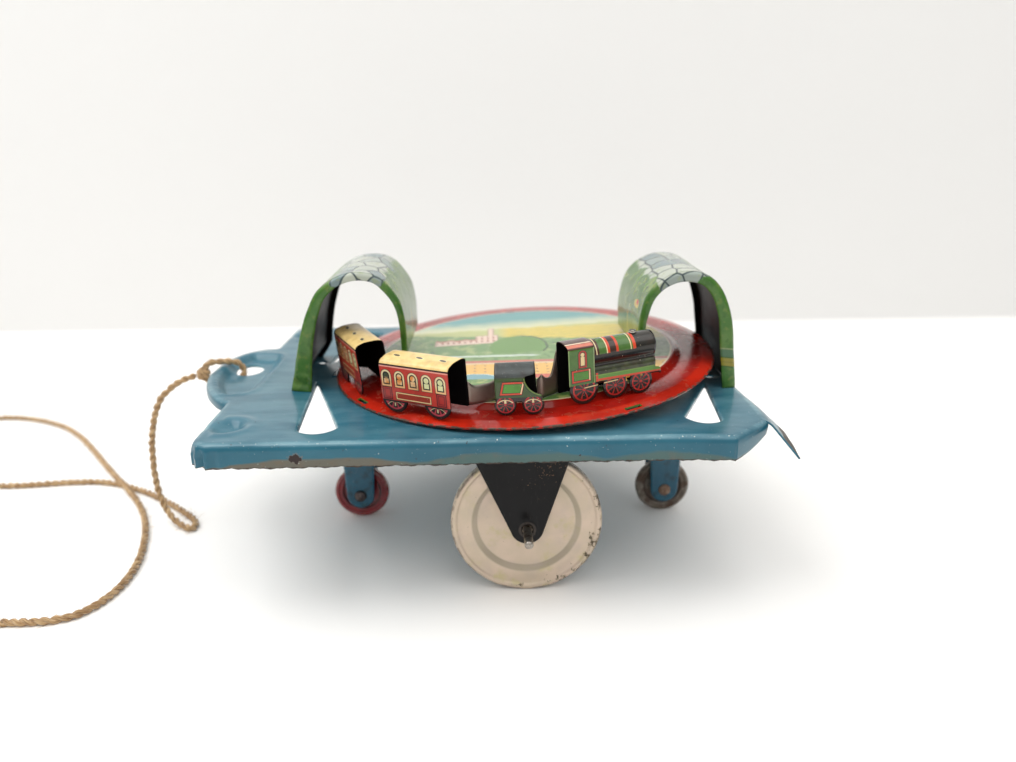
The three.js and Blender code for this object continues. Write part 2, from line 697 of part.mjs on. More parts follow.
// Bent sheet across the vehicle, stretched from one end to the other.
function bentSheet(path, z0, z1) {
  const outline = new THREE.Shape(sheetOutline(path, TRAIN_SHEET));
  return new THREE.ExtrudeGeometry(outline, { depth: z1 - z0, bevelEnabled: false }).translate(0, 0, z0);
}

// Piece of the outer wall, drawn as z along and y up.
function wallPiece(points) {
  const shape = new THREE.Shape(points.map((point) => vec(-point.x, point.y)));
  const geometry = new THREE.ExtrudeGeometry(shape, { depth: TRAIN_SHEET, bevelEnabled: false });
  return geometry.rotateY(Math.PI / 2);
}

// Round feet cut out of the outer wall for the printed wheels, which stand just clear of the track.
function printedWheels(kind) {
  return kind.wheels.map(([along, radius]) => {
    return wallPiece(arc(along, radius + 2 * GAP, radius, radius, 0, 342, 19));
  });
}

const innerFoot = PLATEAU.z - TRACK.z + 0.1;

function coach() {
  const half = TRAIN_SHEET / 2;
  const far = COACH.width - half;
  const path = [
    vec(half, COACH.floor),
    vec(half, COACH.eave),
    vec(0.8, COACH.ridge - 0.7),
    vec(3, COACH.ridge - half),
    vec(far - 1.8, COACH.ridge - half),
    vec(far, COACH.ridge - 1.1),
    vec(far, innerFoot),
  ];
  const end = COACH.length / 2;
  return joined(bentSheet(path, -end, end), ...printedWheels(COACH));
}

function tender() {
  const half = TRAIN_SHEET / 2;
  const far = TENDER.width - half;
  const path = [
    vec(half, TENDER.floor),
    vec(half, TENDER.eave),
    vec(1.4, TENDER.eave + 1.9),
    vec(3.6, TENDER.ridge - half),
    vec(6, TENDER.ridge - 0.5),
    vec(far, TENDER.eave + 0.6),
    vec(far, innerFoot),
  ];
  const end = TENDER.length / 2;
  const body = joined(bentSheet(path, -end, end), ...printedWheels(TENDER));
  const notch = [vec(1, 16), vec(1.4, 9), vec(3, 7), vec(end + CUT, 5.6), vec(end + CUT, 16)];
  const cutter = new THREE.ExtrudeGeometry(
    new THREE.Shape(notch.map((point) => vec(-point.x, point.y))),
    { depth: 2 * TRAIN_SHEET, bevelEnabled: false },
  ).rotateY(Math.PI / 2);
  return cut(body, cutter.translate(-TRAIN_SHEET, 0, 0));
}

function engine() {
  const half = TRAIN_SHEET / 2;
  const middle = ENGINE.width / 2;
  const radius = middle - half;
  const back = -ENGINE.length / 2;
  const front = ENGINE.length / 2;
  const crown = arc(middle, ENGINE.boilerAxis, radius, ENGINE.boilerRise, 180, 0, 10);
  const far = ENGINE.width - half;
  const boiler = [vec(half, ENGINE.floor), ...crown, vec(far, innerFoot)];
  const cab = [
    vec(half, ENGINE.floor),
    vec(half, ENGINE.cabTop - 1.2),
    vec(1, ENGINE.cabTop - 0.5),
    vec(middle, ENGINE.cabTop - half),
    vec(far - 0.8, ENGINE.cabTop - 0.5),
    vec(far, ENGINE.cabTop - 1.2),
    vec(far, innerFoot),
  ];
  const beam = wallPiece([
    vec(front - 6, 4.2),
    vec(front + 0.6, 4.6),
    vec(front + 0.8, 6.2),
    vec(front - 6, 6.2),
  ]);
  const chimney = new THREE.CylinderGeometry(1, 1, 1, SPIN_DISH);
  chimney.translate(middle, ENGINE.boilerAxis + ENGINE.boilerRise + 0.3, front - 5.4);
  return joined(
    bentSheet(boiler, back + ENGINE.cab - CUT, front - 0.5),
    bentSheet(cab, back, back + ENGINE.cab),
    beam,
    chimney,
    ...printedWheels(ENGINE),
  );
}

const TRAIN = {
  coach_rear: { degrees: -154.5, distance: 56.2, offset: -2.2, shape: coach, look: RED, kind: COACH },
  coach_front: { degrees: -121.5, distance: 57.2, offset: -0.8, shape: coach, look: RED, kind: COACH },
  tender: { degrees: -94.6, distance: 52.7, offset: 0.6, shape: tender, look: GREEN, kind: TENDER },
  locomotive: { degrees: -72.3, distance: 50, offset: 7.4, shape: engine, look: GREEN, kind: ENGINE },
};

Object.entries(TRAIN).forEach(([name, place]) => {
  const frame = vehicleFrame(place.degrees, place.distance, place.offset);
  piece(name, place.shape(), place.look, frame);
});

// Point of a vehicle's inner wall, on the deck: end is -1 at its back and +1 at its front.
function innerCorner(name, end, lap) {
  const place = TRAIN[name];
  const turn = THREE.MathUtils.degToRad(place.degrees);
  const out = vec(Math.cos(turn), Math.sin(turn));
  const along = vec(-out.y, out.x);
  const distance = place.distance - place.kind.width - GAP - TRAIN_SHEET / 2;
  const reach = place.offset + end * (place.kind.length / 2 - lap);
  return out.multiplyScalar(distance).addScaledVector(along, reach);
}

// Strip that joins two vehicles along their inner walls, lapped behind both.
function link(behind, ahead) {
  const lap = 1.5;
  const path = [
    innerCorner(behind, 1, lap),
    innerCorner(behind, 1, 0),
    innerCorner(ahead, -1, 0),
    innerCorner(ahead, -1, lap),
  ];
  const foot = PLATEAU.z + 0.1;
  return slab(sheetOutline(path, TRAIN_SHEET), foot, foot + LINK_HEIGHT);
}

piece('coach_link', link('coach_rear', 'coach_front'), BROWN, deck);
piece('tender_link', link('coach_front', 'tender'), BROWN, deck);
piece('engine_link', link('tender', 'locomotive'), BROWN, deck);

// ---------------------------------------------------------------- twine

const TWINE = 1;
const KNOT = new THREE.Vector3(-105.6, 7.4, 48.6);

function tubeAlong(points, radius, steps, facets) {
  const curve = new THREE.CatmullRomCurve3(points.map(([x, y, z]) => new THREE.Vector3(x, y, z)));
  const ringShape = new THREE.Shape(arc(0, 0, radius, radius, 0, 360 - 360 / facets, facets - 1));
  return new THREE.ExtrudeGeometry(ringShape, { steps, extrudePath: curve, bevelEnabled: false });
}

// Loop through the tab's hole and round its edge, with the knot outside the edge.
function cordHitch() {
  const loop = tubeAlong([
    [-105.4, 7.4, 49.6],
    [-104, 7.6, 52],
    [-99.4, 8.2, 52.4],
    [-94.6, 8.8, 51.8],
    [-92.8, 9, 48.6],
    [-95, 8.8, 45.6],
    [-100, 8, 44.8],
    [-104, 7.6, 45.8],
    [-105, 7.4, 48],
  ], TWINE, 22, 6);
  const knot = new THREE.IcosahedronGeometry(1, 1).scale(2.1, 1.9, 2.2);
  return joined(loop, knot.translate(KNOT.x, KNOT.y, KNOT.z));
}

// Free twine from the knot down to the floor and out towards the hand, with an end knot.
function pullCord() {
  const floor = TWINE + 0.1;
  const path = tubeAlong([
    [KNOT.x - 2.4, KNOT.y - 0.2, KNOT.z - 0.4],
    [-113, 5.4, 46.6],
    [-119.5, 3.6, 41],
    [-123.4, 2, 28],
    [-122, -2, 10],
    [-116, -7, 2.6],
    [-109.5, -10.4, floor],
    [-109.8, -6, floor],
    [-122, 7, floor],
    [-139, 20.3, floor],
    [-157, 28, floor],
    [-192.5, 26.3, floor],
    [-222, 33, floor],
    [-247, 58, floor],
    [-252, 86, floor],
    [-235.5, 101, floor],
    [-203, 90.2, floor],
    [-158, 39, floor],
    [-127.5, -3.5, floor],
    [-117.6, -41, floor],
    [-123.6, -58, floor],
    [-142.5, -61, floor],
    [-166, -57, floor],
  ], TWINE, 84, 6);
  const knot = new THREE.IcosahedronGeometry(1, 1).scale(2.3, 1.9, 1.9);
  return joined(path, knot.translate(-167, -56.8, 2));
}

piece('cord_hitch', cordHitch(), JUTE);
piece('pull_cord', pullCord(), JUTE);

export default group;
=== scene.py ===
import json
import math
import random

import bpy
import numpy as np
from mathutils import Matrix, Vector
from mathutils.geometry import delaunay_2d_cdt


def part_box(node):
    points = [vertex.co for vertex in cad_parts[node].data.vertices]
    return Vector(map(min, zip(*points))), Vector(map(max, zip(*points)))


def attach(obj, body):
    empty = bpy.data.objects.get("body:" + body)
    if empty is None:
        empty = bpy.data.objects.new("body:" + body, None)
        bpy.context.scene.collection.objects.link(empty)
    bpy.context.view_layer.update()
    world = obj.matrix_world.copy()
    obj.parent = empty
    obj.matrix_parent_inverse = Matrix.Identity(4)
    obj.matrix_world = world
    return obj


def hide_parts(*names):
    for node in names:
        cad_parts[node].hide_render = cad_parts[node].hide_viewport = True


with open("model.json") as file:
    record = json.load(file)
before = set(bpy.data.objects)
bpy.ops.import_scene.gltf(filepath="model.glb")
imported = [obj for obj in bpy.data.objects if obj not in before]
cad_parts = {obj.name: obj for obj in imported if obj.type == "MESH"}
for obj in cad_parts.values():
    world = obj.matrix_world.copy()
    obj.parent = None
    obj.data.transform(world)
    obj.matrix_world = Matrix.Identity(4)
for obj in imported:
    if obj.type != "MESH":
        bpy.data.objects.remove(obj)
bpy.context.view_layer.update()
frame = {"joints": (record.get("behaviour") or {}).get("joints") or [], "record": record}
MM = 0.001
DRAW = random.Random(11)

JOINT = {joint["name"]: joint for joint in frame["joints"]}
SLOT_OF = {row["node"]: row["material_slot"] for row in frame["record"]["subparts"]}
BODY_OF = {
    node: body for body, nodes in frame["record"]["behaviour"]["bodies"].items() for node in nodes
}
HOME = Vector((*JOINT["turntable_turn"]["pos_m"][:2], 0)) / MM


def low(node):
    """Lowest corner of a CAD node in millimetres from HOME."""
    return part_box(node)[0] / MM - HOME


def high(node):
    """Highest corner of a CAD node in millimetres from HOME."""
    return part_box(node)[1] / MM - HOME


def middle(node):
    return (low(node) + high(node)) / 2


def half_size(node):
    return (high(node) - low(node)) / 2


def joint_place(name):
    """Frame of a joint in millimetres: its origin on the joint, its +Z along the joint's axis."""
    joint = JOINT[name]
    lean = Vector((0, 0, 1)).rotation_difference(Vector(joint["axis"]))
    return Matrix.Translation(Vector(joint["pos_m"]) / MM - HOME) @ lean.to_matrix().to_4x4()


SHEET = 0.5
RIVET_RISE = 0.85  # how far a rivet's upper head stands above the platform
TOP = high("drive_rivet_front_left").z - RIVET_RISE  # the platform's upper side
DECK = joint_place("turntable_turn")
LYING = Matrix.Rotation(math.radians(-90), 4, "X")  # turns +Z to +Y


# ------------------------------------------------------------------ curves and outlines


def arc(x, y, rx, ry, start, end, steps):
    """Points of an arc, angles in degrees, both ends included."""
    turns = np.radians(np.linspace(start, end, steps + 1))
    return np.column_stack([x + rx * np.cos(turns), y + ry * np.sin(turns)])


def spline(points, steps):
    """Centripetal Catmull-Rom curve through points, with steps points from each to the next."""
    p = np.array(points, float)
    p = np.vstack([2 * p[0] - p[1], p, 2 * p[-1] - p[-2]])
    out = []
    for a, b, c, d in zip(p, p[1:], p[2:], p[3:]):
        t0 = 0.0
        t1 = t0 + np.linalg.norm(b - a) ** 0.5
        t2 = t1 + np.linalg.norm(c - b) ** 0.5
        t3 = t2 + np.linalg.norm(d - c) ** 0.5
        for t in np.linspace(t1, t2, steps, endpoint=False):
            ab = a * (t1 - t) / (t1 - t0) + b * (t - t0) / (t1 - t0)
            bc = b * (t2 - t) / (t2 - t1) + c * (t - t1) / (t2 - t1)
            cd = c * (t3 - t) / (t3 - t2) + d * (t - t2) / (t3 - t2)
            abc = ab * (t2 - t) / (t2 - t0) + bc * (t - t0) / (t2 - t0)
            bcd = bc * (t3 - t) / (t3 - t1) + cd * (t - t1) / (t3 - t1)
            out.append(abc * (t2 - t) / (t2 - t1) + bcd * (t - t1) / (t2 - t1))
    out.append(p[-2])
    return np.array(out)


def run_along(line):
    """Distance from a line's start to each of its points."""
    return np.concatenate([[0], np.cumsum(np.linalg.norm(np.diff(line, axis=0), axis=1))])


def corner_point(start, corner, end, t):
    """Point of the short curve that rounds a corner, with t from 0 to 1."""
    return (1 - t) ** 2 * start + 2 * t * (1 - t) * corner + t * t * end


def evenly(points, spacing, closed=False):
    """The same line with evenly spaced points. A closed line doesn't repeat its first point."""
    p = np.array(points, float)
    if closed:
        p = np.vstack([p, p[:1]])
    run = run_along(p)
    count = max(int(round(run[-1] / spacing)), 2)
    at = np.linspace(0, run[-1], count + 1)
    out = np.column_stack([np.interp(at, run, p[:, k]) for k in range(p.shape[1])])
    return out[:-1] if closed else out


def softened(loop, times):
    """Closed loop with its corners rounded by averaging neighbours."""
    for _ in range(times):
        loop = 0.25 * np.roll(loop, 1, 0) + 0.5 * loop + 0.25 * np.roll(loop, -1, 0)
    return loop


def side_normals(path, closed):
    """Unit normals to the right of a path in the plane: outwards on an anticlockwise loop."""
    if closed:
        along = np.roll(path, -1, 0) - np.roll(path, 1, 0)
    else:
        along = np.gradient(path, axis=0)
    normals = np.column_stack([along[:, 1], -along[:, 0]])
    return normals / np.linalg.norm(normals, axis=1)[:, None]


def inside(points, loop):
    """Which points lie inside a closed loop."""
    points = np.atleast_2d(points)
    x, y = points[:, 0:1], points[:, 1:2]
    x0, y0 = loop[:, 0], loop[:, 1]
    x1, y1 = np.roll(x0, -1), np.roll(y0, -1)
    crosses = (y0 > y) != (y1 > y)
    rise = np.where(np.abs(y1 - y0) < 1e-9, 1e-9, y1 - y0)
    return (crosses & (x < x0 + (y - y0) * (x1 - x0) / rise)).sum(1) % 2 == 1


def line_distance(points, loop, closed=True):
    """Distance from each point to a loop or line of straight pieces."""
    a = loop if closed else loop[:-1]
    b = np.roll(loop, -1, 0) if closed else loop[1:]
    d = b - a
    nearest = np.full(len(points), 1e9)
    for start, run in zip(a, d):
        t = np.clip(((points - start) @ run) / max(run @ run, 1e-12), 0, 1)
        gap = np.linalg.norm(points - start - t[:, None] * run, axis=1)
        nearest = np.minimum(nearest, gap)
    return nearest


def smooth_step(value, low_edge, high_edge):
    t = np.clip((value - low_edge) / (high_edge - low_edge), 0, 1)
    return t * t * (3 - 2 * t)


def wobble(x, y, seed=0.0):
    """Slow, repeatable unevenness between about -1 and 1."""
    return (
        np.sin(0.131 * x + 0.07 * y + seed)
        + np.sin(0.083 * y - 0.051 * x + 2.1 * seed)
        + 0.6 * np.sin(0.29 * x - 0.17 * y + 0.7 + seed)
        + 0.5 * np.sin(0.33 * y + 0.11 * x + 1.9 * seed)
    ) / 3.1


# ------------------------------------------------------------------ meshes


def point_grid(lowest, highest, spacing):
    xs = np.arange(lowest[0] + spacing[0] / 2, highest[0], spacing[0])
    ys = np.arange(lowest[1] + spacing[1] / 2, highest[1], spacing[1])
    return np.array([(x, y) for x in xs for y in ys])


def fill(outer, holes, spacing, fine_below=None):
    """Points and triangles that fill a loop round its holes, with a grid of points inside.

    Where x is less than fine_below, the grid is twice as fine.
    """
    loops = [np.array(outer)] + [np.array(hole) for hole in holes]
    points = [tuple(p) for loop in loops for p in loop]
    edges = []
    start = 0
    for loop in loops:
        count = len(loop)
        edges += [(start + i, start + (i + 1) % count) for i in range(count)]
        start += count
    lowest, highest = loops[0].min(0), loops[0].max(0)
    grid = point_grid(lowest, highest, spacing)
    if fine_below is not None:
        close = point_grid(lowest, (fine_below, highest[1]), (spacing[0] / 2, spacing[1] / 2))
        grid = np.vstack([close, grid[grid[:, 0] >= fine_below]])
    keep = inside(grid, loops[0])
    for hole in loops[1:]:
        keep &= ~inside(grid, hole)
    grid = grid[keep]
    for loop in loops:
        grid = grid[line_distance(grid, loop) > 0.45 * min(spacing)]
    result = delaunay_2d_cdt([Vector(p) for p in points + [tuple(g) for g in grid]], edges, [], 0, 1e-6)
    flat = np.array([tuple(v) for v in result[0]])
    faces = list(result[2])
    centres = np.array([flat[list(face)].mean(0) for face in faces])
    keep = inside(centres, loops[0])
    for hole in loops[1:]:
        keep &= ~inside(centres, hole)
    kept = []
    for face, wanted in zip(faces, keep):
        if wanted:
            a, b, c = (flat[i] for i in face)
            turns_left = (b[0] - a[0]) * (c[1] - a[1]) > (b[1] - a[1]) * (c[0] - a[0])
            kept.append(tuple(face) if turns_left else tuple(reversed(face)))
    return flat, kept


def flipped(faces):
    """The same faces, seen from the other side."""
    return [tuple(reversed(face)) for face in faces]


def grid_faces(rows, columns, closed=False):
    """Quads between neighbouring rows of a grid of points. closed joins the last column to the first."""
    faces = []
    for i in range(rows - 1):
        for j in range(columns if closed else columns - 1):
            k = (j + 1) % columns
            a, b = i * columns, (i + 1) * columns
            faces.append((a + j, a + k, b + k, b + j))
    return faces


class Build:
    """Collects points, faces and print coordinates of one piece."""

    def __init__(self):
        self.points, self.uvs, self.faces = [], [], []

    def add(self, points, faces, uvs=None):
        start = len(self.points)
        self.points += [tuple(p) for p in points]
        self.uvs += [tuple(uv) for uv in (uvs if uvs is not None else [(p[0], p[1]) for p in points])]
        self.faces += [tuple(start + i for i in face) for face in faces]

    def piece(self, name, nodes, looks, place=Matrix.Identity(4), merge=0.0, sharp=40, thick=0.0):
        """Makes the object, lets it ride on the first node's body and stand for all the nodes."""
        mesh = bpy.data.meshes.new(name)
        mesh.from_pydata([(place @ Vector(p) + HOME) * MM for p in self.points], [], self.faces)
        layer = mesh.uv_layers.new(name="print")
        corner_points = np.empty(len(mesh.loops), int)
        mesh.loops.foreach_get("vertex_index", corner_points)
        layer.data.foreach_set("uv", np.array(self.uvs, np.float32)[corner_points].ravel())
        for look in looks:
            mesh.materials.append(look)
        obj = bpy.data.objects.new(name, mesh)
        bpy.context.scene.collection.objects.link(obj)
        if merge:
            weld = obj.modifiers.new("weld", "WELD")
            weld.merge_threshold = merge * MM
            bake_modifiers(obj)
        obj.data.shade_smooth()
        obj.data.set_sharp_from_angle(angle=math.radians(sharp))
        if thick:
            solidify = obj.modifiers.new("sheet", "SOLIDIFY")
            solidify.thickness = thick * MM
            solidify.offset = -1
            solidify.material_offset = len(looks) - 1
            solidify.material_offset_rim = len(looks) - 1
            bake_modifiers(obj)
        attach(obj, BODY_OF[nodes[0]])
        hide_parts(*nodes)
        return obj


def bake_modifiers(obj):
    """Turns an object's modifiers into its mesh."""
    bpy.context.view_layer.update()
    baked = bpy.data.meshes.new_from_object(obj.evaluated_get(bpy.context.evaluated_depsgraph_get()))
    obj.modifiers.clear()
    obj.data = baked


def add_lathe(build, profile, facets=96):
    """Turned shape about Z from (radius, z) points. It closes on the axis or on itself."""
    profile = [tuple(p) for p in profile]
    on_axis = profile[0][0] < 1e-6
    if not on_axis:
        profile = profile + [profile[0]]
    turns = np.linspace(0, 2 * math.pi, facets, endpoint=False)
    points, rows = [], []
    for r, z in profile:
        if r < 1e-6:
            rows.append([len(points)])
            points.append((0, 0, z))
        else:
            rows.append(list(range(len(points), len(points) + facets)))
            points += [(r * math.cos(t), r * math.sin(t), z) for t in turns]
    if not on_axis:
        rows[-1] = rows[0]
        points = points[:-facets]
    faces = []
    for a, b in zip(rows, rows[1:]):
        for j in range(facets):
            k = (j + 1) % facets
            if len(a) == 1:
                faces.append((a[0], b[k], b[j]))
            elif len(b) == 1:
                faces.append((a[j], a[k], b[0]))
            else:
                faces.append((a[j], a[k], b[k], b[j]))
    # The profile of a solid runs anticlockwise when its faces point out.
    area = sum(p[0] * q[1] - q[0] * p[1] for p, q in zip(profile, profile[1:] + profile[:1]))
    if area < 0:
        faces = flipped(faces)
    build.add(points, faces)


def rounded(profile, radius):
    """Closed profile with each corner replaced by a short curve. Corners on the axis stay."""
    out = []
    count = len(profile)
    for i, here in enumerate(profile):
        before = np.array(profile[i - 1], float)
        after = np.array(profile[(i + 1) % count], float)
        here = np.array(here, float)
        if here[0] < 1e-6:
            out.append(tuple(here))
            continue
        reach_before = min(radius, 0.45 * np.linalg.norm(before - here))
        reach_after = min(radius, 0.45 * np.linalg.norm(after - here))
        start = here + (before - here) / max(np.linalg.norm(before - here), 1e-9) * reach_before
        end = here + (after - here) / max(np.linalg.norm(after - here), 1e-9) * reach_after
        for t in np.linspace(0, 1, 4):
            point = corner_point(start, here, end, t)
            out.append((float(max(point[0], 0.0)), float(point[1])))
    return out


def sheet_profile(path, thickness):
    """Closed profile of a thin sheet whose middle follows an open path of (radius, z)."""
    path = np.array(path, float)
    offset = side_normals(path, closed=False) * thickness / 2
    return [tuple(p) for p in np.vstack([path + offset, (path - offset)[::-1]])]


# ------------------------------------------------------------------ materials


class Num:
    """A number in a material's node tree, with ordinary arithmetic."""

    def __init__(self, tree, source):
        self.tree, self.source = tree, source

    def op(self, kind, *others, clamp=False):
        node = self.tree.nodes.new("ShaderNodeMath")
        node.operation = kind
        node.use_clamp = clamp
        for socket, value in zip(node.inputs, (self, *others)):
            if isinstance(value, Num):
                self.tree.links.new(value.source, socket)
            else:
                socket.default_value = value
        return Num(self.tree, node.outputs[0])

    def __add__(self, other):
        return self.op("ADD", other)

    def __sub__(self, other):
        return self.op("SUBTRACT", other)

    def __mul__(self, other):
        return self.op("MULTIPLY", other)

    def __truediv__(self, other):
        return self.op("DIVIDE", other)

    def __abs__(self):
        return self.op("ABSOLUTE")

    def max(self, other):
        return self.op("MAXIMUM", other)

    def min(self, other):
        return self.op("MINIMUM", other)

    def sin(self):
        return self.op("SINE")

    def root(self):
        return self.op("SQRT")

    def wrapped(self, period):
        """The number brought to within half a period of zero, again and again."""
        return self.op("WRAP", period / 2, -period / 2)

    def below(self, edge, soft=0.05):
        """1 where the number is below an edge, falling to 0 over a soft width."""
        return ((self * -1.0 + edge) / soft + 0.5).op("MULTIPLY", 1.0, clamp=True)

    def above(self, edge, soft=0.05):
        return ((self - edge) / soft + 0.5).op("MULTIPLY", 1.0, clamp=True)

    def between(self, low_edge, high_edge, soft=0.05):
        return self.above(low_edge, soft) * self.below(high_edge, soft)


class Paint:
    """A material that is painted in layers, from print coordinates in millimetres."""

    def __init__(self, name, color, roughness=0.3, metallic=0.0, coat=0.0, coat_roughness=0.08):
        self.material = bpy.data.materials.new(name)
        self.material.use_nodes = True
        self.tree = self.material.node_tree
        self.tree.nodes.clear()
        uv = self.tree.nodes.new("ShaderNodeUVMap")
        uv.uv_map = "print"
        split = self.tree.nodes.new("ShaderNodeSeparateXYZ")
        self.tree.links.new(uv.outputs[0], split.inputs[0])
        self.print_uv = uv.outputs[0]
        self.u = Num(self.tree, split.outputs[0])
        self.v = Num(self.tree, split.outputs[1])
        place = self.tree.nodes.new("ShaderNodeTexCoord")
        scaled = self.tree.nodes.new("ShaderNodeVectorMath")
        scaled.operation = "SCALE"
        scaled.inputs["Scale"].default_value = 1 / MM
        self.tree.links.new(place.outputs["Object"], scaled.inputs[0])
        self.place = scaled.outputs[0]
        self.color = self.constant_color(color)
        self.rough = self.number(roughness)
        self.metal = self.number(metallic)
        self.bumps = None
        self.coat, self.coat_roughness = coat, coat_roughness
        self.sheen = 0.0
        self.specular = 0.5

    def number(self, value):
        node = self.tree.nodes.new("ShaderNodeValue")
        node.outputs[0].default_value = value
        return Num(self.tree, node.outputs[0])

    def constant_color(self, color):
        node = self.tree.nodes.new("ShaderNodeRGB")
        node.outputs[0].default_value = (*linear(color), 1)
        return node.outputs[0]

    def mix(self, base, other, mask):
        node = self.tree.nodes.new("ShaderNodeMix")
        node.data_type = "RGBA"
        self.tree.links.new(mask.source, node.inputs[0])
        self.tree.links.new(base, node.inputs[6])
        if isinstance(other, tuple):
            node.inputs[7].default_value = (*linear(other), 1)
        else:
            self.tree.links.new(other, node.inputs[7])
        return node.outputs[2]

    def layer(self, color, mask):
        """Paints a colour where the mask is 1."""
        self.color = self.mix(self.color, color, mask)

    def blend_number(self, base, value, mask):
        return base + (mask * (base * -1.0 + value))

    def finish_where(self, mask, roughness=None, metallic=None):
        if roughness is not None:
            self.rough = self.blend_number(self.rough, roughness, mask)
        if metallic is not None:
            self.metal = self.blend_number(self.metal, metallic, mask)

    def noise(self, size, detail=3.0, stretch=(1, 1, 1), seed=0.0, printed=False, rough=0.55):
        """Noise between 0 and 1 whose grains are about size millimetres wide."""
        mapping = self.tree.nodes.new("ShaderNodeMapping")
        mapping.inputs["Scale"].default_value = [1 / (size * s) for s in stretch]
        mapping.inputs["Location"].default_value = (seed, 1.7 * seed, -seed)
        self.tree.links.new(self.print_uv if printed else self.place, mapping.inputs[0])
        node = self.tree.nodes.new("ShaderNodeTexNoise")
        node.inputs["Scale"].default_value = 1.0
        node.inputs["Detail"].default_value = detail
        node.inputs["Roughness"].default_value = rough
        self.tree.links.new(mapping.outputs[0], node.inputs["Vector"])
        return Num(self.tree, node.outputs["Fac"])

    def cells(self, size, stretch=(1, 1, 1), edge=False, seed=0.0):
        """Irregular cells on the print: their distance to an edge, or a random number for each."""
        mapping = self.tree.nodes.new("ShaderNodeMapping")
        mapping.inputs["Scale"].default_value = [1 / (size * s) for s in stretch]
        mapping.inputs["Location"].default_value = (seed, seed, 0)
        self.tree.links.new(self.print_uv, mapping.inputs[0])
        node = self.tree.nodes.new("ShaderNodeTexVoronoi")
        node.voronoi_dimensions = "2D"
        node.inputs["Scale"].default_value = 1.0
        node.inputs["Randomness"].default_value = 0.75
        self.tree.links.new(mapping.outputs[0], node.inputs["Vector"])
        if edge:
            node.feature = "DISTANCE_TO_EDGE"
            return Num(self.tree, node.outputs["Distance"])
        split = self.tree.nodes.new("ShaderNodeSeparateColor")
        self.tree.links.new(node.outputs["Color"], split.inputs[0])
        return Num(self.tree, split.outputs[0])

    def add_bump(self, height):
        """Adds to the surface relief, in millimetres."""
        self.bumps = height if self.bumps is None else self.bumps + height

    # Shapes: signed distances in millimetres, negative inside.

    def box(self, u0, u1, v0, v1, u=None, v=None):
        u, v = u or self.u, v or self.v
        return (abs(u - (u0 + u1) / 2) - (u1 - u0) / 2).max(abs(v - (v0 + v1) / 2) - (v1 - v0) / 2)

    def disc(self, cu, cv, radius, squash=1.0, u=None, v=None):
        du, dv = (u or self.u) - cu, ((v or self.v) - cv) * (1 / squash)
        return (du * du + dv * dv).root() - radius

    def arch(self, cu, half, v0, v1, u=None):
        """Upright panel with a round top."""
        u = u or self.u
        round_top = self.disc(cu, v1 - half, half, u=u)
        return round_top.min(self.box(cu - half, cu + half, v0, v1 - half, u=u))

    def specks(self, size, share, color, seed=0.0, printed=False, roughness=0.5, metallic=0.0):
        """Small chips: share is the part of the surface that they take, from 0 to about 0.3."""
        mask = self.noise(size, 2.5, seed=seed, printed=printed).above(0.78 - share, 0.03)
        self.layer(color, mask)
        self.finish_where(mask, roughness, metallic)
        self.add_bump(mask * -0.03)
        return mask

    def done(self):
        shader = self.tree.nodes.new("ShaderNodeBsdfPrincipled")
        output = self.tree.nodes.new("ShaderNodeOutputMaterial")
        links = self.tree.links
        links.new(self.color, shader.inputs["Base Color"])
        links.new(self.rough.op("ADD", 0.0, clamp=True).source, shader.inputs["Roughness"])
        links.new(self.metal.op("ADD", 0.0, clamp=True).source, shader.inputs["Metallic"])
        shader.inputs["Coat Weight"].default_value = self.coat
        shader.inputs["Coat Roughness"].default_value = self.coat_roughness
        shader.inputs["Sheen Weight"].default_value = self.sheen
        shader.inputs["Specular IOR Level"].default_value = self.specular
        if self.bumps is not None:
            bump = self.tree.nodes.new("ShaderNodeBump")
            bump.inputs["Distance"].default_value = MM
            bump.inputs["Strength"].default_value = 1.0
            links.new(self.bumps.source, bump.inputs["Height"])
            links.new(bump.outputs[0], shader.inputs["Normal"])
        links.new(shader.outputs[0], output.inputs[0])
        return self.material


def linear(color):
    """Screen colour, 0 to 255 a channel, as the linear values that materials use."""
    return tuple((c / 255 / 12.92) if c <= 10 else ((c / 255 + 0.055) / 1.055) ** 2.4 for c in color)


BLUE, BLUE_LIGHT, BLUE_DARK = (34, 96, 116), (58, 118, 134), (22, 70, 88)
RED, RED_DARK = (166, 26, 16), (104, 14, 10)
COACH_RED, MAROON = (176, 44, 30), (84, 18, 22)
CREAM = (228, 206, 158)
INK = (22, 18, 16)
GREEN, GREEN_DARK, GREEN_LIGHT = (66, 112, 44), (36, 66, 26), (122, 146, 76)
ORANGE_RED = (206, 66, 34)
STONE, STONE_DARK = (142, 154, 148), (58, 72, 74)
TIN, RUST, RUST_DARK = (150, 142, 130), (96, 58, 34), (52, 34, 26)


def glossy(name, color, seed=0.0, roughness=0.22, coat=0.6):
    """Enamel with slight orange peel."""
    paint = Paint(name, color, roughness, coat=coat)
    paint.add_bump(paint.noise(2.2, 2, seed=seed) * 0.012)
    return paint


def inner_black():
    paint = glossy("inner_black", (8, 6, 8), seed=3, roughness=0.42, coat=0.0)
    paint.specular = 0.1
    paint.layer((24, 21, 26), paint.noise(14, 3).above(0.55, 0.3) * 0.4)
    paint.specks(0.6, 0.02, (88, 74, 60), seed=5)
    return paint.done()


def matt_black():
    paint = glossy("matt_black", (7, 6, 7), seed=5, roughness=0.7, coat=0.0)
    paint.specular = 0.06
    paint.layer((20, 17, 18), paint.noise(4, 4).above(0.55, 0.3) * 0.4)
    return paint.done()


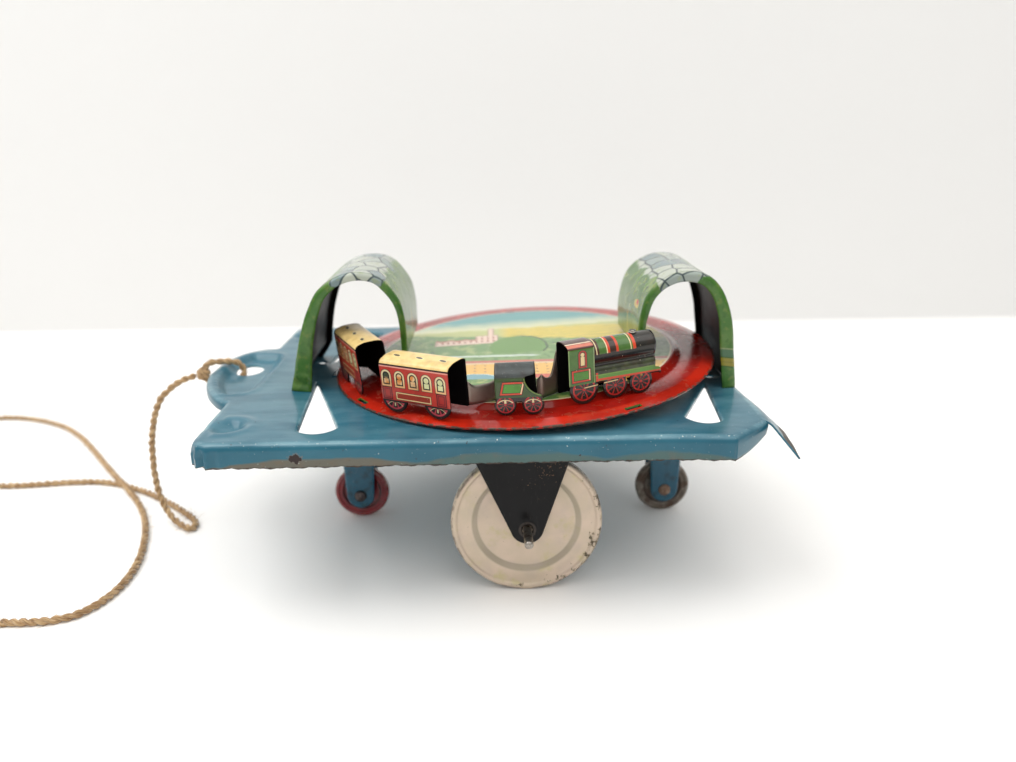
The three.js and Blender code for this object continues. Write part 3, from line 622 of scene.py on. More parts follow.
def inner_tin():
    """Unpainted back of printed tin."""
    paint = Paint("inner_tin", (128, 118, 104), 0.38, metallic=0.85)
    paint.layer((74, 62, 50), paint.noise(7, 5).above(0.5, 0.3) * 0.7)
    paint.specks(0.8, 0.07, RUST, seed=2, metallic=0.0, roughness=0.8)
    return paint.done()


def blue_enamel(name="blue_enamel", worn=True):
    """Teal-blue enamel. v runs down from the fold on the turned edges and is 0 on the flat."""
    paint = glossy(name, BLUE, seed=1, roughness=0.28, coat=0.25)
    paint.specular = 0.3
    cloud = paint.noise(24, 4, seed=4)
    paint.layer(BLUE_DARK, cloud.above(0.55, 0.35) * 0.45)
    paint.layer(BLUE_LIGHT, paint.noise(11, 5, seed=9).above(0.58, 0.3) * 0.3)
    if worn:
        wear_on_flange(paint)
    paint.specks(0.55, 0.045, (176, 190, 188), seed=7, roughness=0.45)
    paint.specks(1.3, 0.035, RUST_DARK, seed=12, roughness=0.7)
    return paint.done()


def wear_on_flange(paint):
    """Rubbed band along the lower edge, bright specks on the fold and one big dark chip."""
    ragged = paint.noise(5, 5, stretch=(4, 1, 1), seed=2) * 3.2
    humps = paint.u.between(-72, -34, 14) * 2.3 + paint.u.between(-24, 12, 12) * 2.5
    humps = humps + paint.u.between(24, 46, 14) * 2.4
    band = (paint.v + ragged + humps).above(FLANGE + 2.0, 0.7) * paint.v.above(0.6, 0.3)
    paint.layer((74, 98, 92), band * 0.85)
    tan = paint.u.below(-30, 12) * 0.8 + paint.noise(5, 4, seed=6).above(0.62, 0.2) * 0.5
    paint.layer((102, 94, 80), band * tan)
    paint.finish_where(band, 0.45)
    edge = (paint.v + paint.noise(1.2, 4, seed=8)).above(FLANGE + 0.85, 0.2)
    paint.layer((58, 46, 38), edge)
    paint.finish_where(edge, 0.7)
    fold = paint.v.between(0.25, 1.5, 0.5) * paint.noise(0.9, 2, seed=3).above(0.69, 0.04)
    paint.layer((208, 212, 204), fold)
    rub = paint.v.between(0.1, 1.5, 0.7) * paint.noise(6, 4, stretch=(3, 1, 1), seed=5).above(0.5, 0.25)
    paint.layer((136, 176, 186), rub * 0.55)
    chip = paint.disc(-60.2, 4.6, 1.6, 0.8) + paint.noise(0.8, 5, seed=1) * 3.0
    paint.layer((46, 34, 32), chip.below(1.4, 0.25))
    paint.layer((120, 112, 104), chip.between(1.4, 1.6, 0.2) * 0.7)
    paint.finish_where(chip.below(1.4, 0.2), 0.75)
    paint.add_bump(chip.below(1.4, 0.2) * -0.05 + band * -0.02)


# ------------------------------------------------------------------ platform

LEFT, RIGHT, HALF = -87.0, 63.0, 61.5
FLANGE, FOLD = 6.5, 2.0  # depth of the turned edge and radius of its fold
CORNER, SOFT_CORNER = 3.0, 5.5  # the corner at the tab's end of the front edge is the softest
DENT_X, DENT_Y = 12.0, 11.0  # the pushed-in corner, along the front and along the side
TAB_Y, TAB_HALF, TAB_REACH, TAB_DEPTH = 1.0, 30.0, 15.4, 3.0
FLAP_BACK = -20.0  # where the side flange starts to open outwards
# Lower edge of the opened side flange, from where it starts to its free end, seen from the outline.
FLAP_EDGE = ((0.2, 0, -FLANGE), (2.4, -0.3, -5.9), (4.9, -0.9, -5.2), (5.9, -3.5, -5.4), (6.3, -7, -7.9))
FOLD_ROWS = 5  # rows of points across a fold
FAR_EDGE = 2000.0  # added to u on every turned edge except the front one
WINDOWS = (
    (-65, -8.5, -56.5, -51, 5.2),
    (54.4, -17.5, 45.8, -48, 5),
    (-65, 8.5, -56.5, 51, 5.2),
    (54.4, 17.5, 45.8, 48, 5),
)
HOLE_SPOTS = ((-67.5, 12.5), (57.5, -11.5))


def tab_curve(inset=0.0):
    """Edge of the pull tab from its back end to its front end."""
    turns = np.linspace(0, math.pi / 2, 40)
    out = []
    for power, sign, order in ((2.5, 1, turns[::-1]), (1.5, -1, turns)):
        reach = np.abs(np.cos(order)) ** (2 / power) * (TAB_REACH - inset)
        along = np.abs(np.sin(order)) ** (2 / power) * (TAB_HALF - inset)
        out.append(np.column_stack([LEFT + 1 - reach, TAB_Y + sign * along]))
    curve = np.vstack(out)
    return curve[curve[:, 0] < LEFT - 0.1]


def main_edge():
    """Outline of the platform from the dented corner round the back and tab to the front."""
    front, back = -HALF, HALF
    c = CORNER
    parts = [
        [(RIGHT, front + DENT_Y)],
        arc(RIGHT - c, back - c, c, c, 0, 90, 6),
        arc(LEFT + c, back - c, c, c, 90, 180, 6),
        tab_curve(),
        arc(LEFT + SOFT_CORNER, front + SOFT_CORNER, SOFT_CORNER, SOFT_CORNER, 180, 270, 10),
        [(RIGHT - DENT_X, front)],
    ]
    return evenly(np.vstack(parts), 0.8)


def dent_edge():
    return evenly([(RIGHT - DENT_X, -HALF), (RIGHT, -HALF + DENT_Y)], 0.8)


def window_loop(apex_x, apex_y, end_x, end_y, half):
    along = np.array([end_x - apex_x, end_y - apex_y])
    along = along / np.linalg.norm(along)
    side = np.array([-along[1], along[0]])
    end = np.array([end_x, end_y])
    bulge = [end + side * half * t + along * 3.2 * (1 - t * t) for t in np.linspace(-1, 1, 13)]
    loop = evenly(np.vstack([[(apex_x, apex_y)], bulge]), 0.7, closed=True)
    loop = softened(loop, 3)
    area = np.sum(loop[:, 0] * np.roll(loop[:, 1], -1) - np.roll(loop[:, 0], -1) * loop[:, 1])
    return loop if area > 0 else loop[::-1]


def relief(points):
    """Height of the pressed top above its plane: tab recess, corner dimple and slight unevenness."""
    x, y = points[:, 0], points[:, 1]
    height = 0.16 * wobble(x, y, 0.4)
    recess = tab_recess_loop()
    to_recess = line_distance(points, recess)
    depth_in = np.where(inside(points, recess), to_recess, 0.0)
    height -= 1.9 * smooth_step(depth_in, 0.0, 2.6)
    height += 0.35 * np.exp(-((to_recess / 1.6) ** 2)) * (depth_in == 0.0)
    for sign in (-1, 1):
        dx, dy = x + 80.8, sign * (y - sign * 48)
        away = np.hypot(dx / 5.4, dy / 5.2)
        bowl = 1 - smooth_step(away, 0.45, 1.0)
        height -= 2.0 * bowl * smooth_step(dx + 0.6 * dy, -7.5, 1.5)
        height += 0.3 * np.exp(-(((away - 1.25) / 0.25) ** 2)) * (dx > -2)
    for apex_x, apex_y, end_x, end_y, _ in WINDOWS:
        spine = np.array([(apex_x, apex_y), (end_x, end_y)])
        height -= 0.35 * np.exp(-((line_distance(points, spine, closed=False) / 8.0) ** 2))
    dent = np.exp(-(((x - RIGHT) ** 2 + (y + HALF) ** 2) / 15.0**2))
    height -= 0.9 * dent
    return height


def tab_recess_loop():
    """D-shaped recess of the tab: its curve follows the tab's edge, its straight side is the inner end."""
    curve = tab_curve(3.6)
    curve = curve[(curve[:, 1] > TAB_Y - 23) & (curve[:, 1] < TAB_Y + 23)]
    chord = [(-84.5, TAB_Y - 21.5), (-81.8, TAB_Y - 18), (-81.2, TAB_Y + 16), (-83.5, TAB_Y + 21.5)]
    return softened(evenly(np.vstack([curve, chord]), 1.0, closed=True), 2)


def flange_drop(point):
    """How far, and which way, the turned edge hangs from a point of the outline."""
    x, y = point
    if x < LEFT - 0.3:
        return np.array([0, 0, -TAB_DEPTH])
    rag = 0.14 * math.sin(0.9 * x + 1.3 * y) + 0.1 * math.sin(2.3 * x + 0.7)
    if x > RIGHT - 0.2 and y < FLAP_BACK:
        t = (FLAP_BACK - y) / (HALF - DENT_Y + FLAP_BACK)
        outer = spline(FLAP_EDGE, 8)
        at = np.array([np.interp(t, np.linspace(0, 1, len(outer)), outer[:, k]) for k in range(3)])
        return at + np.array([0, 0, rag * 0.8])
    return np.array([0, 0, -FLANGE + rag])


def crimp(point, down):
    """Creases that gather the turned edge round the front corner at the tab's end."""
    x, y = point
    corner = math.exp(-(((x - LEFT - 1) / 6.0) ** 2 + ((y + HALF - 1) / 5.0) ** 2))
    along = (x - LEFT) - (y + HALF)
    crease = math.sin(along * 1.6 + 0.5)
    crease = math.copysign(abs(crease) ** 0.6, crease)
    return corner * 0.8 * crease * min(max(down - 1.6, 0) / 2.5, 1.0)


def turned_edge(build, edge, normals, order, drops, radius, lift, far, rows, inward=False):
    """Strip that folds down from the flat along an edge, whose points are taken in order.

    drops holds each point's hanging vector. An inward strip runs all the way round a hole.
    """
    grid, uvs = [], []
    for row in range(rows):
        for i in order:
            drop = drops[i]
            length = np.linalg.norm(drop)
            out = np.array([*normals[i], 0.0])
            corner = np.array([*edge[i], TOP])
            turn = corner + drop / length * radius
            if row < FOLD_ROWS:
                t = row / (FOLD_ROWS - 1)
                point = corner_point(corner - out * radius, corner, turn, t)
                down = 1.3 * radius * t
            else:
                t = (row - FOLD_ROWS + 1) / (rows - FOLD_ROWS)
                point = turn + t * (corner + drop - turn)
                down = 1.3 * radius + t * (length - radius)
            if not inward:
                point = point + out * crimp(edge[i], down)
            point[2] += lift[i]
            grid.append(point)
            uvs.append((edge[i][0] + far[i], down))
    faces = grid_faces(rows, len(order), closed=inward)
    build.add(grid, faces if inward else flipped(faces), uvs)


def hole_edge(build, loop, lip, radius, depth):
    """Edge of a hole, turned down into it."""
    drops = [np.array([0, 0, -depth])] * len(loop)
    far = np.full(len(loop), FAR_EDGE)
    normals = -side_normals(loop, closed=True)
    turned_edge(build, loop, normals, range(len(loop)), drops, radius, relief(lip), far, 7, inward=True)


def platform_looks():
    return [blue_enamel(), blue_enamel("blue_enamel_back", worn=False)]


def platform():
    build = Build()
    main, dent = main_edge(), dent_edge()
    outline = np.vstack([main, dent[1:-1]])
    normals = side_normals(outline, closed=True)
    fold_line = outline - normals * FOLD
    windows = [window_loop(*numbers) for numbers in WINDOWS]
    lips = [loop + side_normals(loop, True) * 0.7 for loop in windows]
    hole = arc(0, 0, 1.3, 1.3, 0, 345, 23)
    oval = arc(-91, 10, 4.2, 6, 0, 350, 35)
    bush = arc(0, 0, 4.2, 4.2, 0, 350, 35)
    round_holes = [hole + np.array(spot) for spot in HOLE_SPOTS] + [bush]
    oval_lip = oval + side_normals(oval, True) * 0.6
    flat, faces = fill(fold_line, lips + round_holes + [oval_lip], (1.5, 1.5), fine_below=LEFT + 14)
    heights = TOP + relief(flat)
    build.add(np.column_stack([flat, heights]), faces, [(p[0], 0.0) for p in flat])
    # The two strips share the fold line of the whole outline, so their ends meet the flat exactly.
    far = np.where(outline[:, 1] < -HALF + 4.5, 0.0, FAR_EDGE)
    drops = [flange_drop(point) for point in outline]
    lift = relief(fold_line)
    turned_edge(build, outline, normals, range(len(main)), drops, FOLD, lift, far, 11)
    leaning = [np.array([-0.5 * t, 0.45 * t, -FLANGE + 2.6 * t * t]) for t in np.linspace(0, 1, len(dent))]
    order = list(range(len(main) - 1, len(outline))) + [0]
    turned_edge(build, outline, normals, order, dict(zip(order, leaning)), FOLD, lift, far + 60, 11)
    for loop, lip in zip(windows, lips):
        hole_edge(build, loop, lip, 0.7, 1.5)
    hole_edge(build, oval, oval_lip, 0.6, 0.9)
    build.piece("platform_pressing", ["platform"], platform_looks(), merge=0.02, sharp=70, thick=SHEET)


platform()


# ------------------------------------------------------------------ tunnels

# Each tunnel's contour, across from its foot and up from the platform. The two are bent unlike.
LEFT_ARCH = (
    (0, 0), (3.4, 14.8), (6.3, 23.4), (10.6, 30.6), (18.5, 34.9),
    (27.4, 34.1), (33.4, 27.2), (35.2, 20), (35.4, 11),
)
RIGHT_ARCH = (
    (0, 0), (1.3, 13), (2.5, 21), (5, 28), (9, 32.8),
    (14.5, 34.9), (21, 34.1), (27, 29.4), (29.6, 21.4), (29.6, 11),
)
TUNNEL_FOLD = 1.3
TUNNEL_LIPS = {"tunnel_left": (6.3, 4.4, 2.5, 1.6), "tunnel_right": (4.2, 4.4, 3.2, 1.7)}


def tunnel(node, arch, side, look):
    """Arched sheet. Its print runs with u up from the foot and v back from the front lip."""
    foot = high(node).x if side > 0 else low(node).x
    front, back = low(node).y, high(node).y
    contour = spline(arch, 10)
    contour = evenly(contour, 0.7)
    run = run_along(contour)
    normals = side_normals(contour, closed=False)
    share = run / run[-1]
    lips = np.interp(share, [0, 0.22, 0.5, 1], TUNNEL_LIPS[node])
    rear_lips = np.interp(share, [0, 0.12, 0.5, 1], (2.2, 2.0, 2.3, 1.1))
    section = lip_section(front, 1) + [("flat", y) for y in np.linspace(front + 2, back - 2, 24)]
    section += lip_section(back, -1)
    grid, uvs = [], []
    for kind, value in section:
        for k, (across, up) in enumerate(contour):
            if kind == "flat":
                inset, y = 0.0, value
            else:
                share_in, along, sign = value
                width = lips[k] if sign > 0 else rear_lips[k]
                inset = TUNNEL_FOLD * share_in
                if share_in > 1:
                    inset = TUNNEL_FOLD + (width - TUNNEL_FOLD) * (share_in - 1)
                y = along
            inward = normals[k] * inset
            dent = 0.12 * wobble(3 * run[k], 2.2 * y, 1.0 if side > 0 else 2.0)
            x = foot - side * (across + inward[0] + dent * normals[k][0])
            if node == "tunnel_left":
                x += pushed_in(run[k], (y - front) / (back - front))
            crease = 0.0
            if node == "tunnel_left" and inset > 0.5 and y < 0 and run[k] < 7:
                crease = 1.1 * math.sin(run[k] * 1.5) * (7 - run[k]) / 7
            grid.append((x, y - crease * 0.5, TOP + up + inward[1] + dent * normals[k][1]))
            uvs.append((run[k], (y - front) - (inset if kind != "flat" and value[2] > 0 else -inset)))
    faces = grid_faces(len(section), len(contour))
    build = Build()
    build.add(grid, flipped(faces) if side > 0 else faces, uvs)
    add_foot_tabs(build, node, foot, side)
    build.piece(node + "_sheet", [node], [look, BLACK_BACK], sharp=60, thick=SHEET * 0.9)


def pushed_in(up, depth):
    """How far the left tunnel's outer leg leans in, most behind the front lip and above the foot."""
    return 3.0 * min(1.0, 2.2 * depth) * max(0.0, 1 - up / 34) * min(1.0, up / 6)


def lip_section(edge, sign):
    """Rows across a turned-in lip, from its free edge to the flat of the arch, or back again."""
    rows = [("lip", (share, edge, sign)) for share in (2.0, 1.66, 1.33, 1.0)]
    for degrees in (18, 36, 54, 72, 90):
        turn = math.radians(degrees)
        along = edge + sign * TUNNEL_FOLD * (1 - math.cos(turn))
        rows.append(("lip", (1 - math.sin(turn), along, sign)))
    return rows if sign > 0 else rows[::-1]


def add_foot_tabs(build, node, foot, side):
    """Two tabs that reach through the platform."""
    centre = middle(node).y
    x = foot - side * 0.05
    bottom, top = TOP - 2.6, TOP + 1
    for y in (centre - 10, centre + 10):
        start, end = y - 2.4, y + 2.4
        corners = [(x, start, bottom), (x, end, bottom), (x, end, top), (x, start, top)]
        face = (0, 1, 2, 3) if side > 0 else (3, 2, 1, 0)
        build.add(corners, [face], [(0, 20)] * 4)


def tunnel_print(name, length, stone_from, stone_to, seed, right):
    paint = glossy(name, GREEN, seed=seed, roughness=0.25, coat=0.3)
    paint.specular = 0.3
    mottled = paint.noise(7, 5, printed=True, seed=seed)
    paint.layer(GREEN_LIGHT, mottled.above(0.52, 0.16) * 0.75)
    paint.layer(GREEN_DARK, paint.noise(2.6, 6, printed=True, seed=seed + 5).above(0.58, 0.08) * 0.6)
    paint.layer((150, 150, 74), paint.noise(2.4, 4, printed=True, seed=seed + 9).above(0.6, 0.06) * 0.6)
    paint.layer((44, 66, 30), paint.noise(1.4, 4, printed=True, seed=seed + 13).above(0.64, 0.06) * 0.5)
    ragged = paint.noise(6, 4, printed=True, seed=seed + 2) * 12.0
    stones = (paint.u + ragged).between(stone_from + 6, stone_to + 6, 0.8)
    edge = paint.cells(5.6, stretch=(1, 1.35, 1), edge=True, seed=seed)
    tone = paint.cells(5.6, stretch=(1, 1.35, 1), seed=seed)
    stone = paint.mix(paint.constant_color(STONE), (176, 182, 168), tone.above(0.5, 0.4))
    stone = paint.mix(stone, (108, 128, 132), tone.below(0.3, 0.3) * 0.8)
    stone = paint.mix(stone, (146, 156, 110), paint.noise(2.5, 4, printed=True).above(0.6, 0.1) * 0.5)
    stone = paint.mix(stone, STONE_DARK, edge.below(0.05, 0.04))
    paint.layer(stone, stones)
    paint.layer(GREEN_DARK, paint.v.between(0.6, 1.0, 0.25) * 0.5)
    if right:
        road = paint.u + paint.v * 0.22
        paint.layer((196, 190, 150), road.between(11.6, 12.0, 0.15))
        paint.layer((84, 104, 112), road.between(9.2, 11.6, 0.3))
        paint.layer(INK, road.between(8.9, 9.3, 0.2))
        paint.layer((208, 160, 46), road.between(6.4, 8.9, 0.3))
        paint.layer((170, 110, 40), road.between(7.5, 7.8, 0.2) * 0.8)
        paint.layer(INK, road.between(6.1, 6.4, 0.2))
        flower = paint.disc(length - 13, 9.0, 1.1, 2.6) + paint.noise(1, 3, printed=True) * 0.8
        paint.layer((200, 168, 60), flower.below(0.5, 0.3))
        paint.layer((186, 62, 44), (paint.disc(length - 13.6, 8.2, 0.7, 1.6)).below(0.1, 0.3))
    line = paint.v.between(19.0, 19.6, 0.1) * paint.u.above(length - 9, 0.3)
    paint.layer((214, 170, 96), line)
    spot_lip = paint.v.below(0.4, 0.3)
    paint.layer((58, 104, 34), spot_lip * (stones * -1.0 + 1.0) * 0.65)
    paint.specks(0.7, 0.03, (70, 62, 44), seed=seed, printed=True)
    paint.specks(0.5, 0.02, TIN, seed=seed + 4, metallic=0.8)
    return paint.done()


BLACK_BACK = inner_black()
TIN_BACK = inner_tin()
tunnel("tunnel_left", LEFT_ARCH, -1, tunnel_print("tunnel_left_print", 76, 38, 53, 2.0, False))
tunnel("tunnel_right", RIGHT_ARCH, 1, tunnel_print("tunnel_right_print", 74, 38, 52, 7.0, True))


# ------------------------------------------------------------------ turntable

DISC_RADIUS, TRACK_IN, TRACK_OUT, PLATEAU = 59.5, 49.5, 56.0, 47.5
TRACK_UP, PLATEAU_UP = 1.2, 2.4
SLOT_ANGLES = (-63, -145)


def turntable_disc():
    half = SHEET / 2
    path = [
        (0.0, PLATEAU_UP - half),
        (PLATEAU - 1.6, PLATEAU_UP - half),
        (PLATEAU - 0.7, PLATEAU_UP - half - 0.05),
        (PLATEAU, PLATEAU_UP - half - 0.25),
        (TRACK_IN - 0.7, TRACK_UP - half + 0.2),
        (TRACK_IN, TRACK_UP - half + 0.02),
        (TRACK_IN + 0.9, TRACK_UP - half),
        (TRACK_OUT - 0.5, TRACK_UP - half),
        (TRACK_OUT + 0.3, TRACK_UP - half - 0.06),
        (TRACK_OUT + 1.0, TRACK_UP - half - 0.3),
        (DISC_RADIUS - 0.5, half + 0.06),
        (DISC_RADIUS - 0.1, half - 0.1),
    ]
    rings = [(r, PLATEAU_UP - half) for r in np.arange(6, PLATEAU - 2, 6)]
    path = path[:1] + rings + path[1:]
    profile = sheet_profile(path, SHEET)
    profile[0] = (0.0, profile[0][1])
    profile[-1] = (0.0, profile[-1][1])
    build = Build()
    add_lathe(build, profile, 192)
    obj = build.piece("turntable_pressing", ["turntable_disc"], [disc_print()], place=DECK, sharp=50)
    cut_slots(obj)


def cut_slots(obj):
    """Cuts the two short slots through the rim and frees the cutters again."""
    slot = ((57.1, -2.6), (58.3, -2.6), (58.3, 2.6), (57.1, 2.6))
    corners = [(x, y, z) for z in (-2, 4) for x, y in slot]
    for degrees in SLOT_ANGLES:
        faces = [(3, 2, 1, 0), (4, 5, 6, 7), (0, 1, 5, 4), (1, 2, 6, 5), (2, 3, 7, 6), (3, 0, 4, 7)]
        mesh = bpy.data.meshes.new("cutter")
        place = DECK @ Matrix.Rotation(math.radians(degrees), 4, "Z")
        mesh.from_pydata([(place @ Vector(p) + HOME) * MM for p in corners], [], faces)
        tool = bpy.data.objects.new("cutter", mesh)
        bpy.context.scene.collection.objects.link(tool)
        cut = obj.modifiers.new("slot", "BOOLEAN")
        cut.object = tool
        cut.solver = "EXACT"
        bake_modifiers(obj)
        bpy.data.objects.remove(tool)


def disc_print():
    """Red enamel with a printed landscape on the plateau, drawn with its sky at the back."""
    paint = glossy("turntable_print", RED, seed=6, roughness=0.2, coat=0.35)
    paint.specular = 0.35
    radius = paint.disc(0, 0, 0.001)
    paint.layer((206, 44, 22), radius.above(55.6, 0.8) * 0.8)
    paint.layer(RED_DARK, paint.noise(15, 4, seed=3).above(0.52, 0.3) * 0.6)
    # Darker red on the slope from the plateau down to the track: painted shade.
    paint.layer((120, 22, 14), radius.between(47.0, 49.6, 0.5) * 0.5)
    landscape(paint, radius)
    rub = paint.noise(3.5, 5, printed=True, seed=21).above(0.62, 0.1) * radius.above(48, 1)
    paint.layer((150, 66, 40), rub * 0.5)
    paint.finish_where(rub, 0.4)
    paint.specks(0.8, 0.05, (84, 30, 20), seed=14)
    paint.specks(0.45, 0.03, (208, 176, 150), seed=18)
    rim = radius.above(59.0, 0.25) * paint.noise(1.6, 4, seed=4).above(0.45, 0.15)
    paint.layer((84, 70, 58), rim)
    paint.finish_where(rim, 0.45, 0.6)
    return paint.done()


def landscape(paint, radius):
    u, v = paint.u, paint.v
    picture = radius.below(46.6, 0.15)
    rough_edge = paint.noise(5, 4, printed=True, seed=1) * 5.0
    sky = paint.constant_color((86, 146, 146))
    scene = paint.mix(sky, (206, 206, 168), (v + rough_edge).below(33, 9))
    far_hills = (v + rough_edge).below(27, 2.5)
    scene = paint.mix(scene, (176, 182, 118), far_hills)
    fields = (v + rough_edge + u * 0.1).between(10, 27, 1.5) * u.above(-6, 4)
    scene = paint.mix(scene, (216, 190, 78), fields)
    furrows = (v * 2.2 + paint.noise(4, 3, printed=True) * 6.0).sin().above(0.35, 0.4) * fields
    scene = paint.mix(scene, (150, 152, 64), furrows * 0.7)
    meadow = (v + rough_edge * 0.7 + u * 0.26).below(14.5, 1.2)
    scene = paint.mix(scene, (104, 140, 84), meadow)
    dry = paint.noise(5, 5, printed=True, seed=8).above(0.56, 0.12)
    scene = paint.mix(scene, (150, 168, 110), meadow * dry)
    bushes = paint.noise(2.2, 5, printed=True, seed=5).above(0.62, 0.08)
    scene = paint.mix(scene, (62, 100, 56), meadow * bushes * 0.7)
    scene = station(paint, scene, u, v)
    hill = paint.disc(-1.5, 3.0, 9.5, 1.25) + paint.noise(4, 4, printed=True, seed=2) * 1.5
    scene = paint.mix(scene, (94, 136, 62), hill.below(0.6, 0.5))
    scene = paint.mix(scene, (52, 84, 40), hill.between(0.2, 0.9, 0.3) * u.above(-1, 3))
    low_field = (v + rough_edge * 0.4).below(-2.5, 0.6)
    scene = paint.mix(scene, (118, 150, 92), low_field)
    tufts = paint.noise(2.0, 5, printed=True, seed=3).above(0.56, 0.1)
    scene = paint.mix(scene, (70, 108, 64), low_field * tufts * 0.6)
    slope = v + (u * 0.13)
    river = (slope + paint.noise(6, 3, printed=True) * 1.6).between(-6.6, -5.2, 0.3)
    scene = paint.mix(scene, (206, 216, 206), river * u.below(4, 3))
    scene = paint.mix(scene, (188, 108, 92), slope.between(-13.4, -11.2, 0.5))
    scene = paint.mix(scene, (222, 196, 160), slope.between(-14.6, -13.4, 0.3))
    sand = slope.between(-24.5, -14.6, 0.3)
    scene = paint.mix(scene, (222, 176, 92), sand)
    dots = paint.disc(0, 0, 0.34, u=u.wrapped(3.1), v=(v + u * 0.35).wrapped(2.7)).below(0, 0.12)
    scene = paint.mix(scene, (120, 66, 40), dots * sand)
    lake = paint.disc(-18, -25.5, 9.5, 0.42) + paint.noise(3, 3, printed=True) * 2.0
    scene = paint.mix(scene, (112, 158, 168), lake.below(0.8, 0.3))
    scene = paint.mix(scene, (196, 214, 206), lake.between(0.4, 1.2, 0.3))
    shore = slope.between(-28.0, -24.5, 0.3)
    scene = paint.mix(scene, (198, 96, 74), shore * u.above(-4, 0.5))
    near = slope.below(-28, 0.6)
    scene = paint.mix(scene, (92, 130, 70), near)
    lawn = paint.noise(3, 5, printed=True, seed=12).above(0.55, 0.12)
    scene = paint.mix(scene, (154, 168, 96), near * lawn)
    paths = paint.disc(6, -60, 26, 1.0).between(-0.8, 0.8, 0.2)
    scene = paint.mix(scene, (220, 206, 168), paths * near)
    paint.layer(scene, picture)
    paint.layer((224, 204, 166), radius.between(46.1, 46.7, 0.15) * 0.8)
    spill = paint.disc(-2.8, 45.6, 1.6, 0.8).below(0.1, 0.2)
    paint.layer((74, 128, 122), spill)


def station(paint, scene, u, v):
    """Long pale building with a row of windows and a small tower."""
    hall = paint.box(-29, -9, 8.5, 13.8)
    wing = paint.box(-15.5, -8, 8.5, 17.5)
    tower = paint.box(-11.3, -9.3, 12, 25.5)
    body = hall.min(wing).min(tower)
    scene = paint.mix(scene, (222, 196, 178), body.below(0, 0.3))
    bays = abs(u.wrapped(1.9)).below(0.42, 0.15) * abs((v - 11.2).wrapped(3.1)).below(0.8, 0.2)
    scene = paint.mix(scene, (150, 92, 84), bays * body.below(-0.4, 0.2))
    roof = (v - 13.8 + abs((u + 19).wrapped(5)) * 0.5).between(-0.4, 0.9, 0.2) * u.between(-29, -15, 0.3)
    scene = paint.mix(scene, (176, 104, 88), roof)
    return paint.mix(scene, (128, 90, 84), body.between(-0.25, 0.1, 0.15) * 0.7)


turntable_disc()


# ------------------------------------------------------------------ train

TRAIN_SHEET = 0.35
FOOT = PLATEAU_UP - TRACK_UP + 0.1  # where the inner walls stop, above the track
# Which way a vehicle's outer wall faces in degrees, its distance from the middle and its offset along
# the track, then the vehicle's width and half length.
PLACES = {
    "coach_rear": (-154.5, 56.2, -2.2, 8.6, 11.0),
    "coach_front": (-121.5, 57.2, -0.8, 8.6, 11.0),
    "tender": (-94.6, 52.7, 0.6, 8.0, 6.0),
    "locomotive": (-72.3, 50.0, 7.4, 8.0, 13.0),
}
REAR_COACH_LEAN = 0.25  # how far the last coach's top leans back for each millimetre up


def vehicle_frame(node):
    """Frame of a vehicle: x inwards, y up from the track, z the way the train runs."""
    degrees, distance, offset, _, _ = PLACES[node]
    turn = math.radians(degrees)
    out = Vector((math.cos(turn), math.sin(turn), 0))
    along = Vector((-out.y, out.x, 0))
    axes = Matrix((-out, Vector((0, 0, 1)), along)).transposed().to_4x4()
    place = out * distance + along * offset + Vector((0, 0, TRACK_UP))
    return DECK @ Matrix.Translation(place) @ axes


def with_wheels(start, end, floor, wheels, top):
    """Outline of an unfolded side, z along and height up, with printed wheels below its floor."""
    points = [(start, floor)]
    for centre, radius in wheels:
        drop = floor - radius - 0.1
        reach = math.sqrt(max(radius * radius - drop * drop, 0.0))
        first = math.degrees(math.atan2(drop, -reach))
        last = math.degrees(math.atan2(drop, reach))
        if first < 0:
            first += 360
        if last < first:
            last += 360
        points += [tuple(p) for p in arc(centre, radius + 0.1, radius, radius, first, last, 24)]
    points += [(end, floor), (end, top), (start, top)]
    return points


def folded(build, outline, path):
    """A flat outline bent along a path. Its second coordinate runs along the path."""
    run = path[0, 1] + run_along(path)
    loop = evenly(np.array(outline, float), 0.4, closed=True)
    flat, faces = fill(loop, [], (0.7, 0.45))
    x = np.interp(flat[:, 1], run, path[:, 0])
    y = np.interp(flat[:, 1], run, path[:, 1])
    below = flat[:, 1] < run[0]
    y[below] = flat[below, 1]
    x[below] = path[0, 0]
    build.add(np.column_stack([x, y, flat[:, 0]]), faces, flat)


def path_length(path):
    return path[0, 1] + np.linalg.norm(np.diff(path, axis=0), axis=1).sum()


def bent(corners, radius):
    """Path through corners, each rounded."""
    points = [np.array(corners[0], float)]
    for before, here, after in zip(corners, corners[1:], corners[2:]):
        before, here, after = (np.array(p, float) for p in (before, here, after))
        reach = min(radius, 0.45 * np.linalg.norm(before - here), 0.45 * np.linalg.norm(after - here))
        start = here + (before - here) / np.linalg.norm(before - here) * reach
        end = here + (after - here) / np.linalg.norm(after - here) * reach
        points += [corner_point(start, here, end, t) for t in np.linspace(0, 1, 5)]
    points.append(np.array(corners[-1], float))
    return np.array(points)


